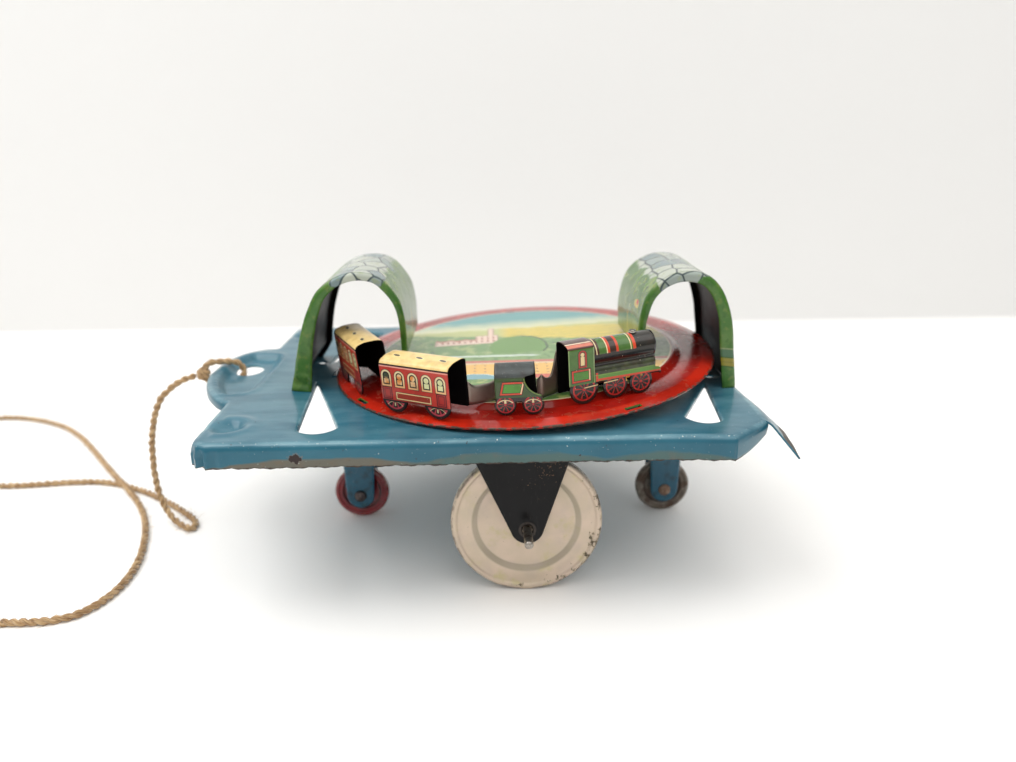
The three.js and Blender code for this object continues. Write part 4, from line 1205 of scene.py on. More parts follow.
# Each vehicle's section, from the foot of its outer wall over the roof to the foot of its inner wall.
COACH_FLOOR, COACH_WHEEL = 3.5, 4.2
COACH_PATH = bent([
    (0, COACH_FLOOR), (0, 13.6), (0.7, 14.5), (3.0, 15.1), (6.6, 15.15),
    (8.2, 14.8), (8.6, 14.1), (8.6, FOOT),
], 0.6)
TENDER_PATH = bent([
    (0, 3.6), (0, 9.6), (1.0, 11.3), (3.0, 12.7), (5.2, 13.0), (7.2, 12.0), (8, 10.2), (8, FOOT),
], 1.0)
CAB_PATH = bent([
    (0, 5.6), (0, 15.5), (0.5, 16.0), (2.2, 16.4), (4, 16.5), (5.8, 16.4), (7.5, 16.0), (8, 15.3), (8, FOOT),
], 0.5)
BOILER_PATH = np.vstack([
    bent([(0.15, 5.6), (0.25, 8.8), (0.95, 9.5), (0.95, 10.3), (0.35, 11.6)], 0.4),
    arc(4, 12.9, 3.85, 3.35, 193, 2, 26),
    [(8, 11.6), (8, FOOT)],
])
COACH_HALF = PLACES["coach_front"][4]
TENDER_HALF = PLACES["tender"][4]
ENGINE_HALF = PLACES["locomotive"][4]
CAB_LENGTH = 7.4
# Printed wheels: where along the vehicle, and radius.
COACH_WHEELS = ((-6.9, COACH_WHEEL), (6.9, COACH_WHEEL))
TENDER_WHEELS = ((-3.5, 2.9), (3.7, 2.9))
ENGINE_WHEELS = ((-8.8, 4.1), (0.4, 3.6), (8.0, 3.4))


def litho(build, node, look):
    """Makes a folded vehicle: printed outside, black inside."""
    place = vehicle_frame(node)
    build.piece(node + "_litho", [node], [look, TRAIN_BACK], place=place, sharp=50, thick=TRAIN_SHEET)


def coach(node, look, lean=0.0):
    build = Build()
    outline = with_wheels(-COACH_HALF, COACH_HALF, COACH_FLOOR, COACH_WHEELS, path_length(COACH_PATH))
    folded(build, outline, COACH_PATH)
    if lean:
        add_end_wall(build)
    build.points = [(x, y, z - lean * (y - FOOT)) for x, y, z in build.points]
    litho(build, node, look)


def add_end_wall(build):
    """Folded-in wall that closes a coach's back end. Its plain red comes from beside the windows."""
    points = [(x, y, 0.2 - COACH_HALF) for x, y in COACH_PATH]
    build.add(points, [tuple(range(len(points)))], [(-20, 8)] * len(points))


def tender(look):
    build = Build()
    top = path_length(TENDER_PATH)
    outline = with_wheels(-TENDER_HALF, TENDER_HALF, 3.6, TENDER_WHEELS, top)[:-3]
    outline += [(6.0, 3.6), (6.2, 4.6), (6.0, 5.5)]
    outline += [tuple(p) for p in arc(6.6, 10.6, 4.9, 5.1, 262, 190, 12)]
    outline += [(1.9, 10.5), (4.2, 11.1), (4.6, 12.2), (4.2, 15.5), (4.6, top), (-TENDER_HALF, top)]
    folded(build, outline, TENDER_PATH)
    litho(build, "tender", look)


def locomotive(look):
    build = Build()
    cab_end = -ENGINE_HALF + CAB_LENGTH
    cab = with_wheels(-ENGINE_HALF, cab_end, 5.6, (ENGINE_WHEELS[0],), path_length(CAB_PATH))
    folded(build, cab, CAB_PATH)
    front = ENGINE_HALF
    boiler = with_wheels(cab_end - 0.3, front, 5.2, ENGINE_WHEELS[1:], path_length(BOILER_PATH))
    boiler[-3] = (front + 0.2, 5.2)
    beam = [(1.0, 4.7), (1.2, 5.6), (0.8, 6.6), (-0.6, 6.9), (-0.4, 9.6)]
    boiler[-2:-2] = [(front + ahead, up) for ahead, up in beam]
    folded(build, boiler, BOILER_PATH)
    litho(build, "locomotive", look)
    chimney = Build()
    outside = [(0, 0), (1.05, 0), (1.0, 0.35), (0.9, 0.45), (1.0, 0.7), (0.95, 0.8)]
    bore = [(0.6, 0.8), (0.5, 0.4), (0, 0.4)]
    spot = Matrix.Translation((4, 16.15, 7.6)) @ Matrix.Rotation(math.radians(-90), 4, "X")
    add_lathe(chimney, rounded(outside + bore, 0.12), 40)
    chimney.uvs = [(p[2], 0) for p in chimney.points]
    place = vehicle_frame("locomotive") @ spot
    chimney.piece("locomotive_chimney", ["locomotive"], [chimney_paint()], place=place)


def chimney_paint():
    paint = glossy("chimney_paint", (24, 24, 22), roughness=0.3)
    paint.layer((214, 210, 196), paint.u.between(0.35, 0.62, 0.05))
    paint.specks(0.4, 0.05, TIN, seed=2, metallic=0.7)
    return paint.done()


def print_finish(paint, seed):
    """Fine dots of the printing screen, rubbed spots and a dirty film."""
    dots = paint.disc(0, 0, 0.05, u=(paint.u + paint.v).wrapped(0.42), v=(paint.v - paint.u).wrapped(0.42))
    paint.layer((150, 92, 44), dots.below(0.02, 0.05) * 0.16)
    paint.layer((70, 40, 26), paint.noise(4, 5, seed=seed).above(0.6, 0.2) * 0.3)
    paint.specks(0.5, 0.035, (214, 190, 160), seed=seed + 1)
    paint.specks(0.7, 0.03, (48, 32, 24), seed=seed + 2)


def coach_print():
    paint = glossy("coach_print", COACH_RED, seed=8, roughness=0.3, coat=0.3)
    paint.specular = 0.3
    u, v = paint.u, paint.v
    eave = 13.6
    paint.layer((206, 62, 44), paint.noise(3, 4, printed=True, seed=4).above(0.52, 0.3) * 0.4)
    paint.layer((232, 168, 150), v.between(eave - 0.75, eave - 0.45, 0.12) * 0.85)
    centred = u + 0.3
    windows = paint.arch(0, 1.6, 7.4, 12.0, u=centred.wrapped(4.35)).max(abs(centred) - 10.4)
    paint.layer(INK, windows.below(0.16, 0.06))
    border = paint.mix(paint.constant_color(CREAM), (226, 150, 84), v.below(9.0, 1.2) * 0.6)
    paint.layer(border, windows.below(0.0, 0.06))
    paint.layer(INK, windows.below(-0.48, 0.06))
    pane_tone = paint.noise(3.1, 1, printed=True, seed=3)
    pane = paint.mix(paint.constant_color((226, 190, 142)), (216, 136, 66), pane_tone.above(0.52, 0.1))
    pane = paint.mix(pane, (214, 214, 160), u.above(3.0, 0.5))
    pane = paint.mix(pane, (52, 66, 44), u.below(-6.5, 0.2) * v.above(9.8, 0.6))
    paint.layer(pane, windows.below(-0.84, 0.06))
    doors = paint.box(-1.5, 1.5, 3.8, 7.3, u=abs(centred) - 8.7)
    paint.layer(MAROON, doors.below(0.08, 0.08))
    paint.layer((166, 36, 28), doors.below(-0.25, 0.08))
    paint.layer(MAROON, doors.between(-0.75, -0.5, 0.08) * 0.8)
    panel = paint.box(-6.2, 5.05, 4.0, 6.0)
    paint.layer(INK, panel.below(0.16, 0.06))
    paint.layer((226, 196, 140), panel.below(0.0, 0.06))
    paint.layer((150, 45, 22), panel.below(-0.28, 0.06))
    under_parts(paint, v, COACH_WHEELS, COACH_FLOOR, (184, 62, 74))
    paint.layer(INK, v.between(COACH_FLOOR - 0.4, COACH_FLOOR + 0.1, 0.1))
    for centre, _ in COACH_WHEELS:
        spring = paint.disc(centre, COACH_FLOOR - 2.6, 2.9, 0.8, v=v)
        paint.layer(CREAM, spring.between(-0.12, 0.08, 0.08) * v.between(2.1, COACH_FLOOR - 0.4, 0.1) * 0.8)
        axle_box = paint.box(centre - 0.2, centre + 0.2, 1.9, COACH_FLOOR - 0.6)
        paint.layer(CREAM, axle_box.below(0, 0.08) * 0.8)
    paint.layer(INK, v.between(eave - 0.4, eave + 0.05, 0.08))
    inner_edge = 13.6 + 8.9
    roof = v.above(eave + 0.05, 0.05) * v.below(inner_edge, 0.05)
    paint.layer((236, 206, 138), roof)
    paint.layer((212, 176, 102), roof * paint.noise(2.5, 5, printed=True, seed=6).above(0.58, 0.15) * 0.5)
    along = u.wrapped(7.4)
    vents = paint.disc(0, 17.6, 1.1, 0.45, u=along, v=v + along * 0.2).max(abs(u) - 9.4)
    paint.layer((246, 232, 182), vents.below(0.3, 0.1) * roof)
    paint.layer((64, 54, 36), vents.below(0.05, 0.12) * roof)
    paint.layer((120, 30, 24), v.above(inner_edge, 0.05) * 0.5)
    print_finish(paint, 30)
    return paint.done()


def under_parts(paint, height, wheels, floor, rim, springs=False):
    """Black frame with spoked wheels below it, and cream springs over them."""
    u = paint.u
    beneath = height.below(floor, 0.08)
    paint.layer(INK, beneath)
    for centre, radius in wheels:
        up = radius + 0.1
        away = paint.disc(centre, up, 0.0, v=height)
        turn = (height - up).op("ARCTAN2", u - centre)
        spokes = (turn * 9.0).sin().above(0.66, 0.25) * away.below(radius * 0.72, 0.1)
        paint.layer(rim, spokes * away.above(radius * 0.16, 0.08) * beneath * 0.8)
        paint.layer(rim, away.between(radius * 0.68, radius * 0.79, 0.08) * beneath * 0.95)
        paint.layer(rim, away.below(radius * 0.12, 0.08) * beneath)
    if springs:
        for centre, radius in wheels:
            spring = paint.disc(centre, floor - 2.3, 2.3, 0.75, v=height)
            paint.layer(CREAM, spring.between(-0.18, 0.12, 0.1) * height.above(floor - 1.4, 0.1))
            axle_box = paint.box(centre - 0.28, centre + 0.28, floor - 1.5, floor - 0.5, v=height)
            paint.layer(CREAM, axle_box.below(0, 0.1))


def framed_panel(paint, u0, u1, v0, v1, lean=0.0):
    """Green panel with a black line, an orange-red border and a cream glint on one side."""
    slanted = paint.u + (paint.v - v0) * lean
    box = paint.box(u0, u1, v0, v1, u=slanted)
    paint.layer(INK, box.below(0.12, 0.06))
    paint.layer(ORANGE_RED, box.below(-0.08, 0.06))
    paint.layer(INK, box.below(-0.5, 0.06))
    paint.layer((74, 140, 44), box.below(-0.65, 0.06))
    glint = slanted.between(u1 - 0.5, u1 - 0.15, 0.06) * paint.v.between(v0 + 0.3, v1 - 0.2, 0.1)
    paint.layer((236, 206, 158), glint)


def tender_print():
    paint = glossy("tender_print", (52, 78, 38), seed=12, roughness=0.26, coat=0.35)
    paint.specular = 0.35
    v = paint.v
    framed_panel(paint, -4.9, 0.9, 5.6, 9.2, lean=-0.25)
    paint.layer(GREEN_DARK, paint.disc(6.6, 10.6, 5.4, 1.04).between(-0.1, 0.15, 0.1))
    paint.layer(GREEN_LIGHT, paint.disc(6.6, 10.6, 5.0, 1.04).between(-0.1, 0.2, 0.1) * 0.7)
    under_parts(paint, v, TENDER_WHEELS, 4.9, (176, 34, 44), springs=True)
    roof = v.above(10.3, 0.08)
    paint.layer((58, 66, 66), roof)
    paint.layer((40, 46, 46), roof * paint.noise(4, 4, printed=True).above(0.55, 0.2))
    paint.finish_where(roof, 0.42)
    paint.layer((46, 62, 36), v.between(10.0, 10.35, 0.1))
    print_finish(paint, 40)
    paint.specks(0.35, 0.05, (206, 208, 204), seed=44)
    return paint.done()


def locomotive_print():
    paint = glossy("locomotive_print", (62, 102, 42), seed=16, roughness=0.24, coat=0.4)
    paint.specular = 0.35
    u, v = paint.u, paint.v
    cab_end = -ENGINE_HALF + CAB_LENGTH
    boiler = u.above(cab_end - 0.05, 0.05)
    paint.layer((88, 128, 56), paint.noise(4, 4, printed=True).above(0.5, 0.3) * 0.5)
    for start, end, color in (
        (-5.7, -4.9, (58, 34, 26)), (-4.9, -4.6, CREAM), (-4.6, -4.0, (70, 40, 28)),
        (-1.9, -1.6, CREAM), (-1.6, -0.9, ORANGE_RED), (-0.9, 0.9, (54, 36, 28)), (0.9, 1.6, ORANGE_RED),
        (5.1, 5.4, CREAM), (5.4, 5.8, (70, 110, 44)), (5.8, 6.7, ORANGE_RED), (6.7, 7.0, INK),
    ):
        paint.layer(color, u.between(start, end, 0.06) * boiler * v.between(13.3, 24.5, 0.1))
    paint.layer((28, 30, 26), u.above(7.0, 0.06) * v.above(10.6, 0.1))
    barrel_shadow = v.between(9.6, 13.4, 0.2) * boiler
    paint.layer((20, 20, 16), barrel_shadow)
    # Faint grey line on the ridge where the side turns in under the boiler: painted highlight.
    paint.layer((70, 72, 62), v.between(10.6, 11.0, 0.3) * boiler * 0.5)
    side = v.between(6.9, 9.7, 0.12) * boiler
    paint.layer((44, 52, 32), side)
    paint.layer((66, 78, 44), side * paint.noise(3, 5, printed=True, seed=7).above(0.55, 0.12) * 0.6)
    foot = v + (u - 4) * 0.02
    paint.layer((88, 138, 52), foot.between(6.2, 7.3, 0.1) * u.above(-5.2, 0.1))
    paint.layer(ORANGE_RED, foot.between(5.6, 6.2, 0.1) * u.above(-5.2, 0.1))
    paint.layer(ORANGE_RED, u.between(-5.2, -4.6, 0.08) * v.between(5.6, 8.0, 0.1))
    paint.layer((118, 156, 66), v.between(7.2, 7.45, 0.1) * boiler * 0.8)
    cab_window = paint.arch(-9.0, 1.1, 10.3, 14.9)
    cab = boiler * -1.0 + 1.0
    paint.layer(INK, cab_window.below(0.2, 0.06) * cab)
    paint.layer((176, 52, 34), cab_window.below(0.05, 0.06) * cab)
    paint.layer(INK, cab_window.below(-0.35, 0.06) * cab)
    paint.layer((232, 206, 152), cab_window.below(-0.55, 0.06) * cab)
    framed_panel(paint, -12.2, -6.8, 6.3, 9.8)
    paint.layer((160, 186, 120), abs(u + 12.85).below(0.12, 0.06) * 0.7)
    paint.layer((176, 196, 132), abs(u - cab_end + 0.15).below(0.12, 0.06) * v.below(16, 0.2) * 0.7)
    paint.layer((70, 34, 26), v.above(15.4, 0.1) * cab)
    paint.layer((206, 118, 96), v.between(16.0, 17.4, 0.3) * cab)
    paint.layer((236, 214, 184), v.between(17.6, 18.1, 0.2) * cab)
    under_parts(paint, v, ENGINE_WHEELS, 5.6, (186, 36, 34))
    rod = paint.box(-8.8, 1.2, 4.35, 4.75, v=v - (u + 8.8) * 0.06)
    paint.layer(INK, rod.below(0.12, 0.06))
    paint.layer((222, 196, 140), rod.below(-0.06, 0.06))
    paint.layer((188, 140, 52), paint.box(3.5, 4.7, 4.3, 5.6).below(0, 0.1))
    paint.layer((238, 206, 110), paint.disc(4.1, 5.0, 0.3).below(0, 0.1))
    paint.layer((150, 116, 50), (paint.disc(8.2, 5.3, 0.35)).below(0, 0.1))
    print_finish(paint, 50)
    return paint.done()


TRAIN_BACK = matt_black()
coach_look = coach_print()
coach("coach_rear", coach_look, lean=REAR_COACH_LEAN)
coach("coach_front", coach_look)
tender(tender_print())
locomotive(locomotive_print())


def inner_corner(node, end, lap):
    """Point on the deck just behind a vehicle's inner wall, at its back (-1) or front (+1) end."""
    degrees, distance, offset, width, half = PLACES[node]
    turn = math.radians(degrees)
    out = np.array([math.cos(turn), math.sin(turn)])
    along = np.array([-out[1], out[0]])
    return out * (distance - width - 0.2) + along * (offset + end * (half - lap))


def link(name, behind, ahead, tall_end):
    """Bare strip between two vehicles. It flares up where it meets the one ahead."""
    back_end = [inner_corner(behind, 1, lap) for lap in (1.5, 0)]
    front_end = [inner_corner(ahead, -1, lap) for lap in (0, 1.5)]
    line = bent(back_end + front_end, 0.6)
    run = run_along(line)
    at = np.linspace(0, run[-1], 40)
    x = np.interp(at, run, line[:, 0])
    y = np.interp(at, run, line[:, 1])
    gap_start, gap_end = 1.5, run[-1] - 1.5
    foot = PLATEAU_UP + 0.12
    grid, uvs = [], []
    rows = 7
    for row in range(rows):
        for s, px, py in zip(at, x, y):
            rise = max(0.0, 1 - abs(s - gap_end) / 3.0) ** 2 * tall_end
            rise += max(0.0, 1 - abs(s - gap_start) / 2.2) ** 2 * 1.6
            grid.append((px, py, foot + (5.2 + rise) * row / (rows - 1)))
            uvs.append((s, row))
    build = Build()
    build.add(grid, grid_faces(rows, len(at)), uvs)
    build.piece(name + "_strip", [name], [bare_tin(), TIN_BACK], place=DECK, sharp=60, thick=0.35)


def bare_tin():
    if "bare_tin" in bpy.data.materials:
        return bpy.data.materials["bare_tin"]
    paint = Paint("bare_tin", (92, 78, 68), 0.42, metallic=0.55)
    paint.layer((44, 34, 32), paint.noise(2.2, 5).above(0.5, 0.15) * 0.8)
    paint.specks(0.45, 0.13, (150, 132, 120), seed=2, metallic=0.6)
    paint.specks(0.5, 0.06, RUST, seed=6, roughness=0.8)
    return paint.done()


link("coach_link", "coach_rear", "coach_front", 2.0)
link("tender_link", "coach_front", "tender", 1.0)
link("engine_link", "tender", "locomotive", 7.0)


# ------------------------------------------------------------------ wheels, hubs, axle and roller

GAP = 0.05


def dish(build, radius, half_width, bore, lap):
    """Pressed dish: a sunk middle, a flat ring and a rounded edge that turns back."""
    face = half_width - SHEET / 2
    edge = radius - SHEET / 2 - lap
    back = SHEET * 0.25 + (1.6 + GAP - half_width if lap else 0)
    corner = min(0.75, radius * 0.07)
    big = radius > 12
    sunk = 1.35 if big else 0.9
    groove = sunk * 0.45
    path = [
        (bore, face - sunk),
        (bore + 0.6, face - sunk),
        (radius * 0.65, face - sunk),
        (radius * 0.668, face - sunk * 0.93),
        (radius * 0.715, face - sunk * 0.3),
        (radius * 0.735, face - sunk * 0.22),
        (radius * 0.8, face - sunk * 0.24),
        (edge - corner * 2.9, face - groove),
        (edge - corner * 2.2, face - groove * 0.8),
        *[tuple(p) for p in arc(edge - corner, face - corner, corner, corner, 150, 0, 9)],
        (edge, face - corner - 0.6),
        (edge, back),
    ]
    add_lathe(build, sheet_profile(path, SHEET), 144 if big else 88)


def dish_piece(name, centre, radius, width, bore, sign, look, lap=0.0):
    build = Build()
    dish(build, radius, width / 2, bore, lap)
    turn = LYING if sign > 0 else LYING.inverted()
    build.piece(name + "_dish", [name], [look], place=Matrix.Translation(centre) @ turn, sharp=38)


def wheel(prefix, hub, radius, width, sign, looks):
    """Outer dish with the tread, and inner dish tucked inside its edge."""
    centre = middle(hub)
    bore = half_size(hub).z + GAP
    dish_piece(prefix + "_outer", centre, radius, width, bore, sign, looks[0])
    dish_piece(prefix + "_inner", centre, radius, width, bore, -sign, looks[1], lap=SHEET + 0.1)


def tube(name, look, inner):
    """Short tube about Y with rolled ends, over its CAD node."""
    build = Build()
    half = half_size(name).y
    outer = half_size(name).z
    profile = rounded([(inner, -half), (outer, -half), (outer, half), (inner, half)], 0.22)
    add_lathe(build, profile, 48)
    build.piece(name + "_tube", [name], [look], place=Matrix.Translation(middle(name)) @ LYING, sharp=50)


def silver_lacquer(name, seed, rust):
    """Cream-tinted silver lacquer over tin, chipped and rusty towards one side of the edge."""
    paint = Paint(name, (196, 180, 158), 0.34, metallic=0.4, coat=0.2, coat_roughness=0.25)
    radius = paint.disc(0, 0, 0.001)
    paint.layer((214, 192, 174), paint.noise(9, 4, seed=seed).above(0.5, 0.3) * 0.7)
    paint.layer((188, 178, 126), paint.noise(7, 4, seed=seed + 3).above(0.6, 0.1) * 0.6)
    # Darker band on the step round the sunk middle: painted shade.
    paint.layer((150, 142, 122), radius.between(13.6, 15.2, 0.5) * 0.6)
    brushed = paint.noise(1.0, 3, stretch=(6, 1, 6), seed=seed + 7)
    paint.layer((182, 166, 158), brushed.above(0.55, 0.2) * 0.3)
    paint.rough = paint.rough + brushed * 0.1
    side = (paint.u * 0.8 - paint.v * 0.2) * (1 / 21)
    edge_wear = radius.above(17.5, 4.5) * (side * 0.9 + 0.45 + rust)
    ragged = paint.noise(2.6, 6, seed=seed + 1, rough=0.68)
    chips = (ragged * 0.9 + edge_wear * 0.1).above(0.64, 0.03)
    paint.layer((122, 110, 88), chips)
    paint.finish_where(chips, 0.7, 0.1)
    dark = (ragged * 0.9 + edge_wear * 0.1).above(0.685, 0.03)
    paint.layer((70, 58, 44), dark)
    paint.finish_where(dark, 0.8, 0.0)
    paint.specks(0.6, 0.015, (120, 104, 84), seed=seed + 2, roughness=0.7)
    paint.layer((92, 80, 72), radius.above(20.4, 0.4) * paint.noise(2.4, 4, seed=9).above(0.5, 0.15) * 0.7)
    paint.add_bump(chips * -0.05 + paint.noise(5, 2, seed=seed) * 0.06)
    return paint.done()


def dark_red_enamel(name, seed):
    paint = glossy(name, (116, 14, 22), seed=seed, roughness=0.2, coat=0.8)
    radius = paint.disc(0, 0, 0.001)
    paint.layer((160, 22, 32), paint.noise(4, 4, seed=seed).above(0.5, 0.3) * 0.6)
    # Darker ring on the step round the sunk middle: painted shade.
    paint.layer((52, 8, 12), radius.between(5.6, 6.5, 0.3) * 0.6)
    chips = (paint.noise(0.6, 4, seed=2) + radius.above(7.5, 2) * 0.07).above(0.7, 0.04)
    paint.layer((60, 34, 28), chips)
    paint.finish_where(chips, 0.6)
    rub = radius.above(8.3, 0.4) * paint.noise(1.2, 4, seed=seed).above(0.5, 0.1)
    paint.layer((150, 92, 84), rub * 0.6)
    return paint.done()


def tinned_wheel(name, seed):
    """Bare tin with brown patches."""
    paint = Paint(name, (112, 102, 92), 0.36, metallic=0.75)
    radius = paint.disc(0, 0, 0.001)
    paint.layer((158, 150, 142), paint.noise(3, 4, seed=seed).above(0.52, 0.2) * 0.6)
    patch = paint.noise(4.5, 5, seed=seed + 4).above(0.54, 0.06)
    paint.layer((88, 68, 54), patch * 0.85)
    paint.finish_where(patch, 0.6, 0.2)
    # Darker ring on the step round the sunk middle: painted shade.
    paint.layer((62, 46, 38), radius.between(5.7, 6.4, 0.3) * 0.7)
    chips = paint.specks(0.55, 0.07, RUST_DARK, seed=seed + 1, roughness=0.8)
    paint.add_bump(chips * -0.03)
    return paint.done()


def plain_steel(name="plain_steel", seed=0.0):
    """Bright steel, dulled and freckled with rust."""
    paint = Paint(name, (168, 162, 154), 0.28, metallic=0.95)
    turned = paint.noise(0.5, 3, stretch=(5, 1, 5), seed=seed)
    paint.layer((128, 120, 112), turned.above(0.5, 0.2) * 0.5)
    paint.layer((96, 74, 58), paint.noise(2.2, 5, seed=seed + 1).above(0.56, 0.12) * 0.7)
    paint.rough = paint.rough + turned * 0.15
    paint.specks(0.4, 0.06, RUST_DARK, seed=seed + 3, roughness=0.8)
    return paint.done()


STEEL = plain_steel()


BIG_WIDTH, SMALL_WIDTH = 5.0, 4.4
HUB_BORES = {"drive_hub_front": 1.25, "drive_hub_rear": 1.25, "nose_hub": 1.29, "tail_hub": 1.29}


def all_wheels():
    big = middle("drive_hub_front").z
    front = [silver_lacquer("silver_front", 1.0, 0.25), silver_lacquer("silver_front_back", 5.0, 0.1)]
    rear = [silver_lacquer("silver_rear", 8.0, 0.1), silver_lacquer("silver_rear_back", 3.0, 0.2)]
    wheel("drive_wheel_front", "drive_hub_front", big, BIG_WIDTH, -1, front)
    wheel("drive_wheel_rear", "drive_hub_rear", big, BIG_WIDTH, 1, rear)
    small = middle("nose_hub").z
    red = [dark_red_enamel("dark_red_outer", 1.0), dark_red_enamel("dark_red_inner", 4.0)]
    wheel("nose_wheel", "nose_hub", small, SMALL_WIDTH, -1, red)
    tinned = [tinned_wheel("tinned_outer", 1.0), tinned_wheel("tinned_inner", 6.0)]
    wheel("tail_wheel", "tail_hub", small, SMALL_WIDTH, -1, tinned)
    for name, inner in HUB_BORES.items():
        tube(name, STEEL, inner)


def drive_axle():
    """Drawn rod with domed, slightly burred ends."""
    end = half_size("drive_axle").y
    radius = half_size("drive_axle").z
    profile = [(0, -end), (radius * 0.45, -end + 0.04), (radius * 0.8, -end + 0.25), (radius, -end + 0.7)]
    profile += [(radius, -end + 1.5), (radius, end - 1.5), (radius, end - 0.7), (radius * 0.8, end - 0.25)]
    profile += [(radius * 0.45, end - 0.04), (0, end)]
    build = Build()
    add_lathe(build, profile, 40)
    place = Matrix.Translation(middle("drive_axle")) @ LYING
    build.piece("drive_axle_rod", ["drive_axle"], [plain_steel("axle_steel", 5.0)], place=place, sharp=60)


def roller():
    """Rubber roller with a crowned, lightly worn tread."""
    centre = middle("friction_roller")
    radius = half_size("friction_roller").z
    half = half_size("friction_roller").y
    tread = [(radius - 0.05 - 0.85 * abs(t) ** 2.4, half * t) for t in np.linspace(-0.96, 0.96, 15)]
    profile = [(1.25, -half), (radius - 1.6, -half), *tread, (radius - 1.6, half), (1.25, half)]
    build = Build()
    add_lathe(build, profile, 96)
    paint = Paint("black_rubber", (46, 42, 40), 0.75)
    paint.layer((84, 76, 68), paint.noise(3, 5).above(0.52, 0.2) * 0.6)
    paint.layer((24, 22, 22), paint.noise(1.1, 4, seed=4).above(0.58, 0.1) * 0.7)
    paint.add_bump(paint.noise(0.5, 3, stretch=(1, 3, 1), seed=1) * 0.12)
    place = Matrix.Translation(centre) @ LYING
    build.piece("friction_roller_tyre", ["friction_roller"], [paint.done()], place=place, sharp=50)


all_wheels()
drive_axle()
roller()


# ------------------------------------------------------------------ brackets, forks, pins and rivets


RIM_INSET = 0.75
TIP_RADIUS = 4.6
PIN_HOLE = 1.36


def leg_outline(tip, top_x, half_top, top_z):
    """Tapered leg with a round tip, in X and Z."""
    round_tip = arc(tip.x, tip.z, TIP_RADIUS, TIP_RADIUS, 194, 346, 18)
    left = [(top_x - half_top, top_z), (top_x - half_top, top_z - 2.0)]
    right = [(top_x + half_top, top_z - 2.0), (top_x + half_top, top_z)]
    return np.vstack([left, round_tip, right])


def holder(name, tip, *, half_top, leg_y, thickness, look, turned_rims):
    """U-shaped holder: web under the platform, two legs with turned rims and a hole for the pin."""
    box_low, box_high = low(name), high(name)
    top = box_high.z
    top_x = (box_low.x + box_high.x) / 2
    middle_y = (box_low.y + box_high.y) / 2
    fold = 1.1
    reach = leg_y + thickness / 2 - 0.1
    outline = leg_outline(tip, top_x, half_top, top - fold)
    build = Build()
    for sign in (-1, 1):
        line = evenly(outline, 0.5)
        normals = side_normals(line, closed=False)
        edge = line - normals * RIM_INSET
        edge[0, 1] = edge[-1, 1] = line[0, 1]
        hole = arc(tip.x, tip.z, PIN_HOLE, PIN_HOLE, 0, 345, 23)
        flat, faces = fill(edge, [hole], (0.6, 0.6))
        y = middle_y + sign * reach
        ring = np.hypot(flat[:, 0] - tip.x, flat[:, 1] - tip.z)
        raised = 0.4 * np.exp(-(((ring - 2.0) / 0.45) ** 2)) if thickness > SHEET else 0.0 * ring
        points = np.column_stack([flat[:, 0], y + sign * raised, flat[:, 1]])
        build.add(points, faces if sign < 0 else flipped(faces), [(p[0], p[1] - tip.z) for p in flat])
        add_rim(build, edge, normals, y, sign, turned_rims)
    add_web(build, box_low, box_high, middle_y, reach, top, fold)
    build.piece(name + "_sheet", [name], [look], merge=0.03, sharp=50, thick=thickness)


def add_rim(build, line, normals, y, sign, reach):
    """Rounded strip along the leg's edge that turns towards the other leg."""
    rows, grid, uvs = 6, [], []
    for turn in np.linspace(0, math.pi / 2, rows):
        for (x, z), (nx, nz) in zip(line, normals):
            out = RIM_INSET * math.sin(turn)
            grid.append((x + nx * out, y - sign * reach * (1 - math.cos(turn)), z + nz * out))
            uvs.append((x, z - 21))
    faces = grid_faces(rows, len(line))
    build.add(grid, faces if sign > 0 else flipped(faces), uvs)


def add_web(build, box_low, box_high, middle_y, reach, top, fold):
    """Flat under the platform with rounded folds into both legs."""
    xs = np.linspace(box_low.x + 0.02, box_high.x - 0.02, 25)
    turns = np.linspace(0.3, math.pi / 2, 5)
    bend = [(reach - fold * (1 - math.cos(t)), top - fold + fold * math.sin(t)) for t in turns]
    section = [(-reach, top - fold)] + [(-y, z) for y, z in bend]
    section += [(y, top) for y in np.linspace(-reach + fold + 1, reach - fold - 1, 9)]
    section += bend[::-1] + [(reach, top - fold)]
    grid = [(x, middle_y + y, z) for y, z in section for x in xs]
    uvs = [(x, y + 60) for y, z in section for x in xs]
    faces = grid_faces(len(section), len(xs))
    build.add(grid, flipped(faces), uvs)


def black_enamel():
    paint = glossy("black_enamel", (6, 6, 7), seed=2, roughness=0.3, coat=0.12)
    paint.specular = 0.14
    paint.layer((20, 19, 22), paint.noise(9, 4, seed=1).above(0.55, 0.25) * 0.35)
    up = paint.v.above(12, 9)
    specks = (paint.noise(0.7, 3, seed=3) + up * paint.u.above(-2, 10) * 0.12).above(0.75, 0.03)
    paint.layer((94, 72, 54), specks)
    paint.finish_where(specks, 0.7)
    ring = paint.disc(DRIVE.x, 0, 2.3)
    paint.layer((70, 64, 60), ring.between(-0.9, 0.1, 0.3) * 0.8)
    paint.finish_where(ring.between(-0.9, 0.1, 0.3), 0.45, 0.5)
    scratches = paint.noise(0.35, 2, stretch=(1, 1, 14), seed=5).above(0.68, 0.03) * paint.v.below(14, 4)
    paint.layer((52, 48, 46), scratches * 0.4)
    return paint.done()


def fork_blue():
    """Enamel of the forks, darker than the platform, with scattered chips."""
    paint = glossy("fork_blue", (24, 84, 108), seed=4, roughness=0.26, coat=0.4)
    paint.specular = 0.4
    paint.layer((38, 104, 128), paint.noise(6, 4, seed=3).above(0.5, 0.3) * 0.6)
    paint.layer((22, 52, 64), paint.noise(3, 5, seed=6).above(0.58, 0.15) * 0.7)
    paint.specks(0.5, 0.05, RUST_DARK, seed=1, roughness=0.7)
    paint.specks(0.4, 0.05, (150, 168, 170), seed=8)
    return paint.done()


DRIVE = middle("drive_hub_front")
DRIVE.y = 0


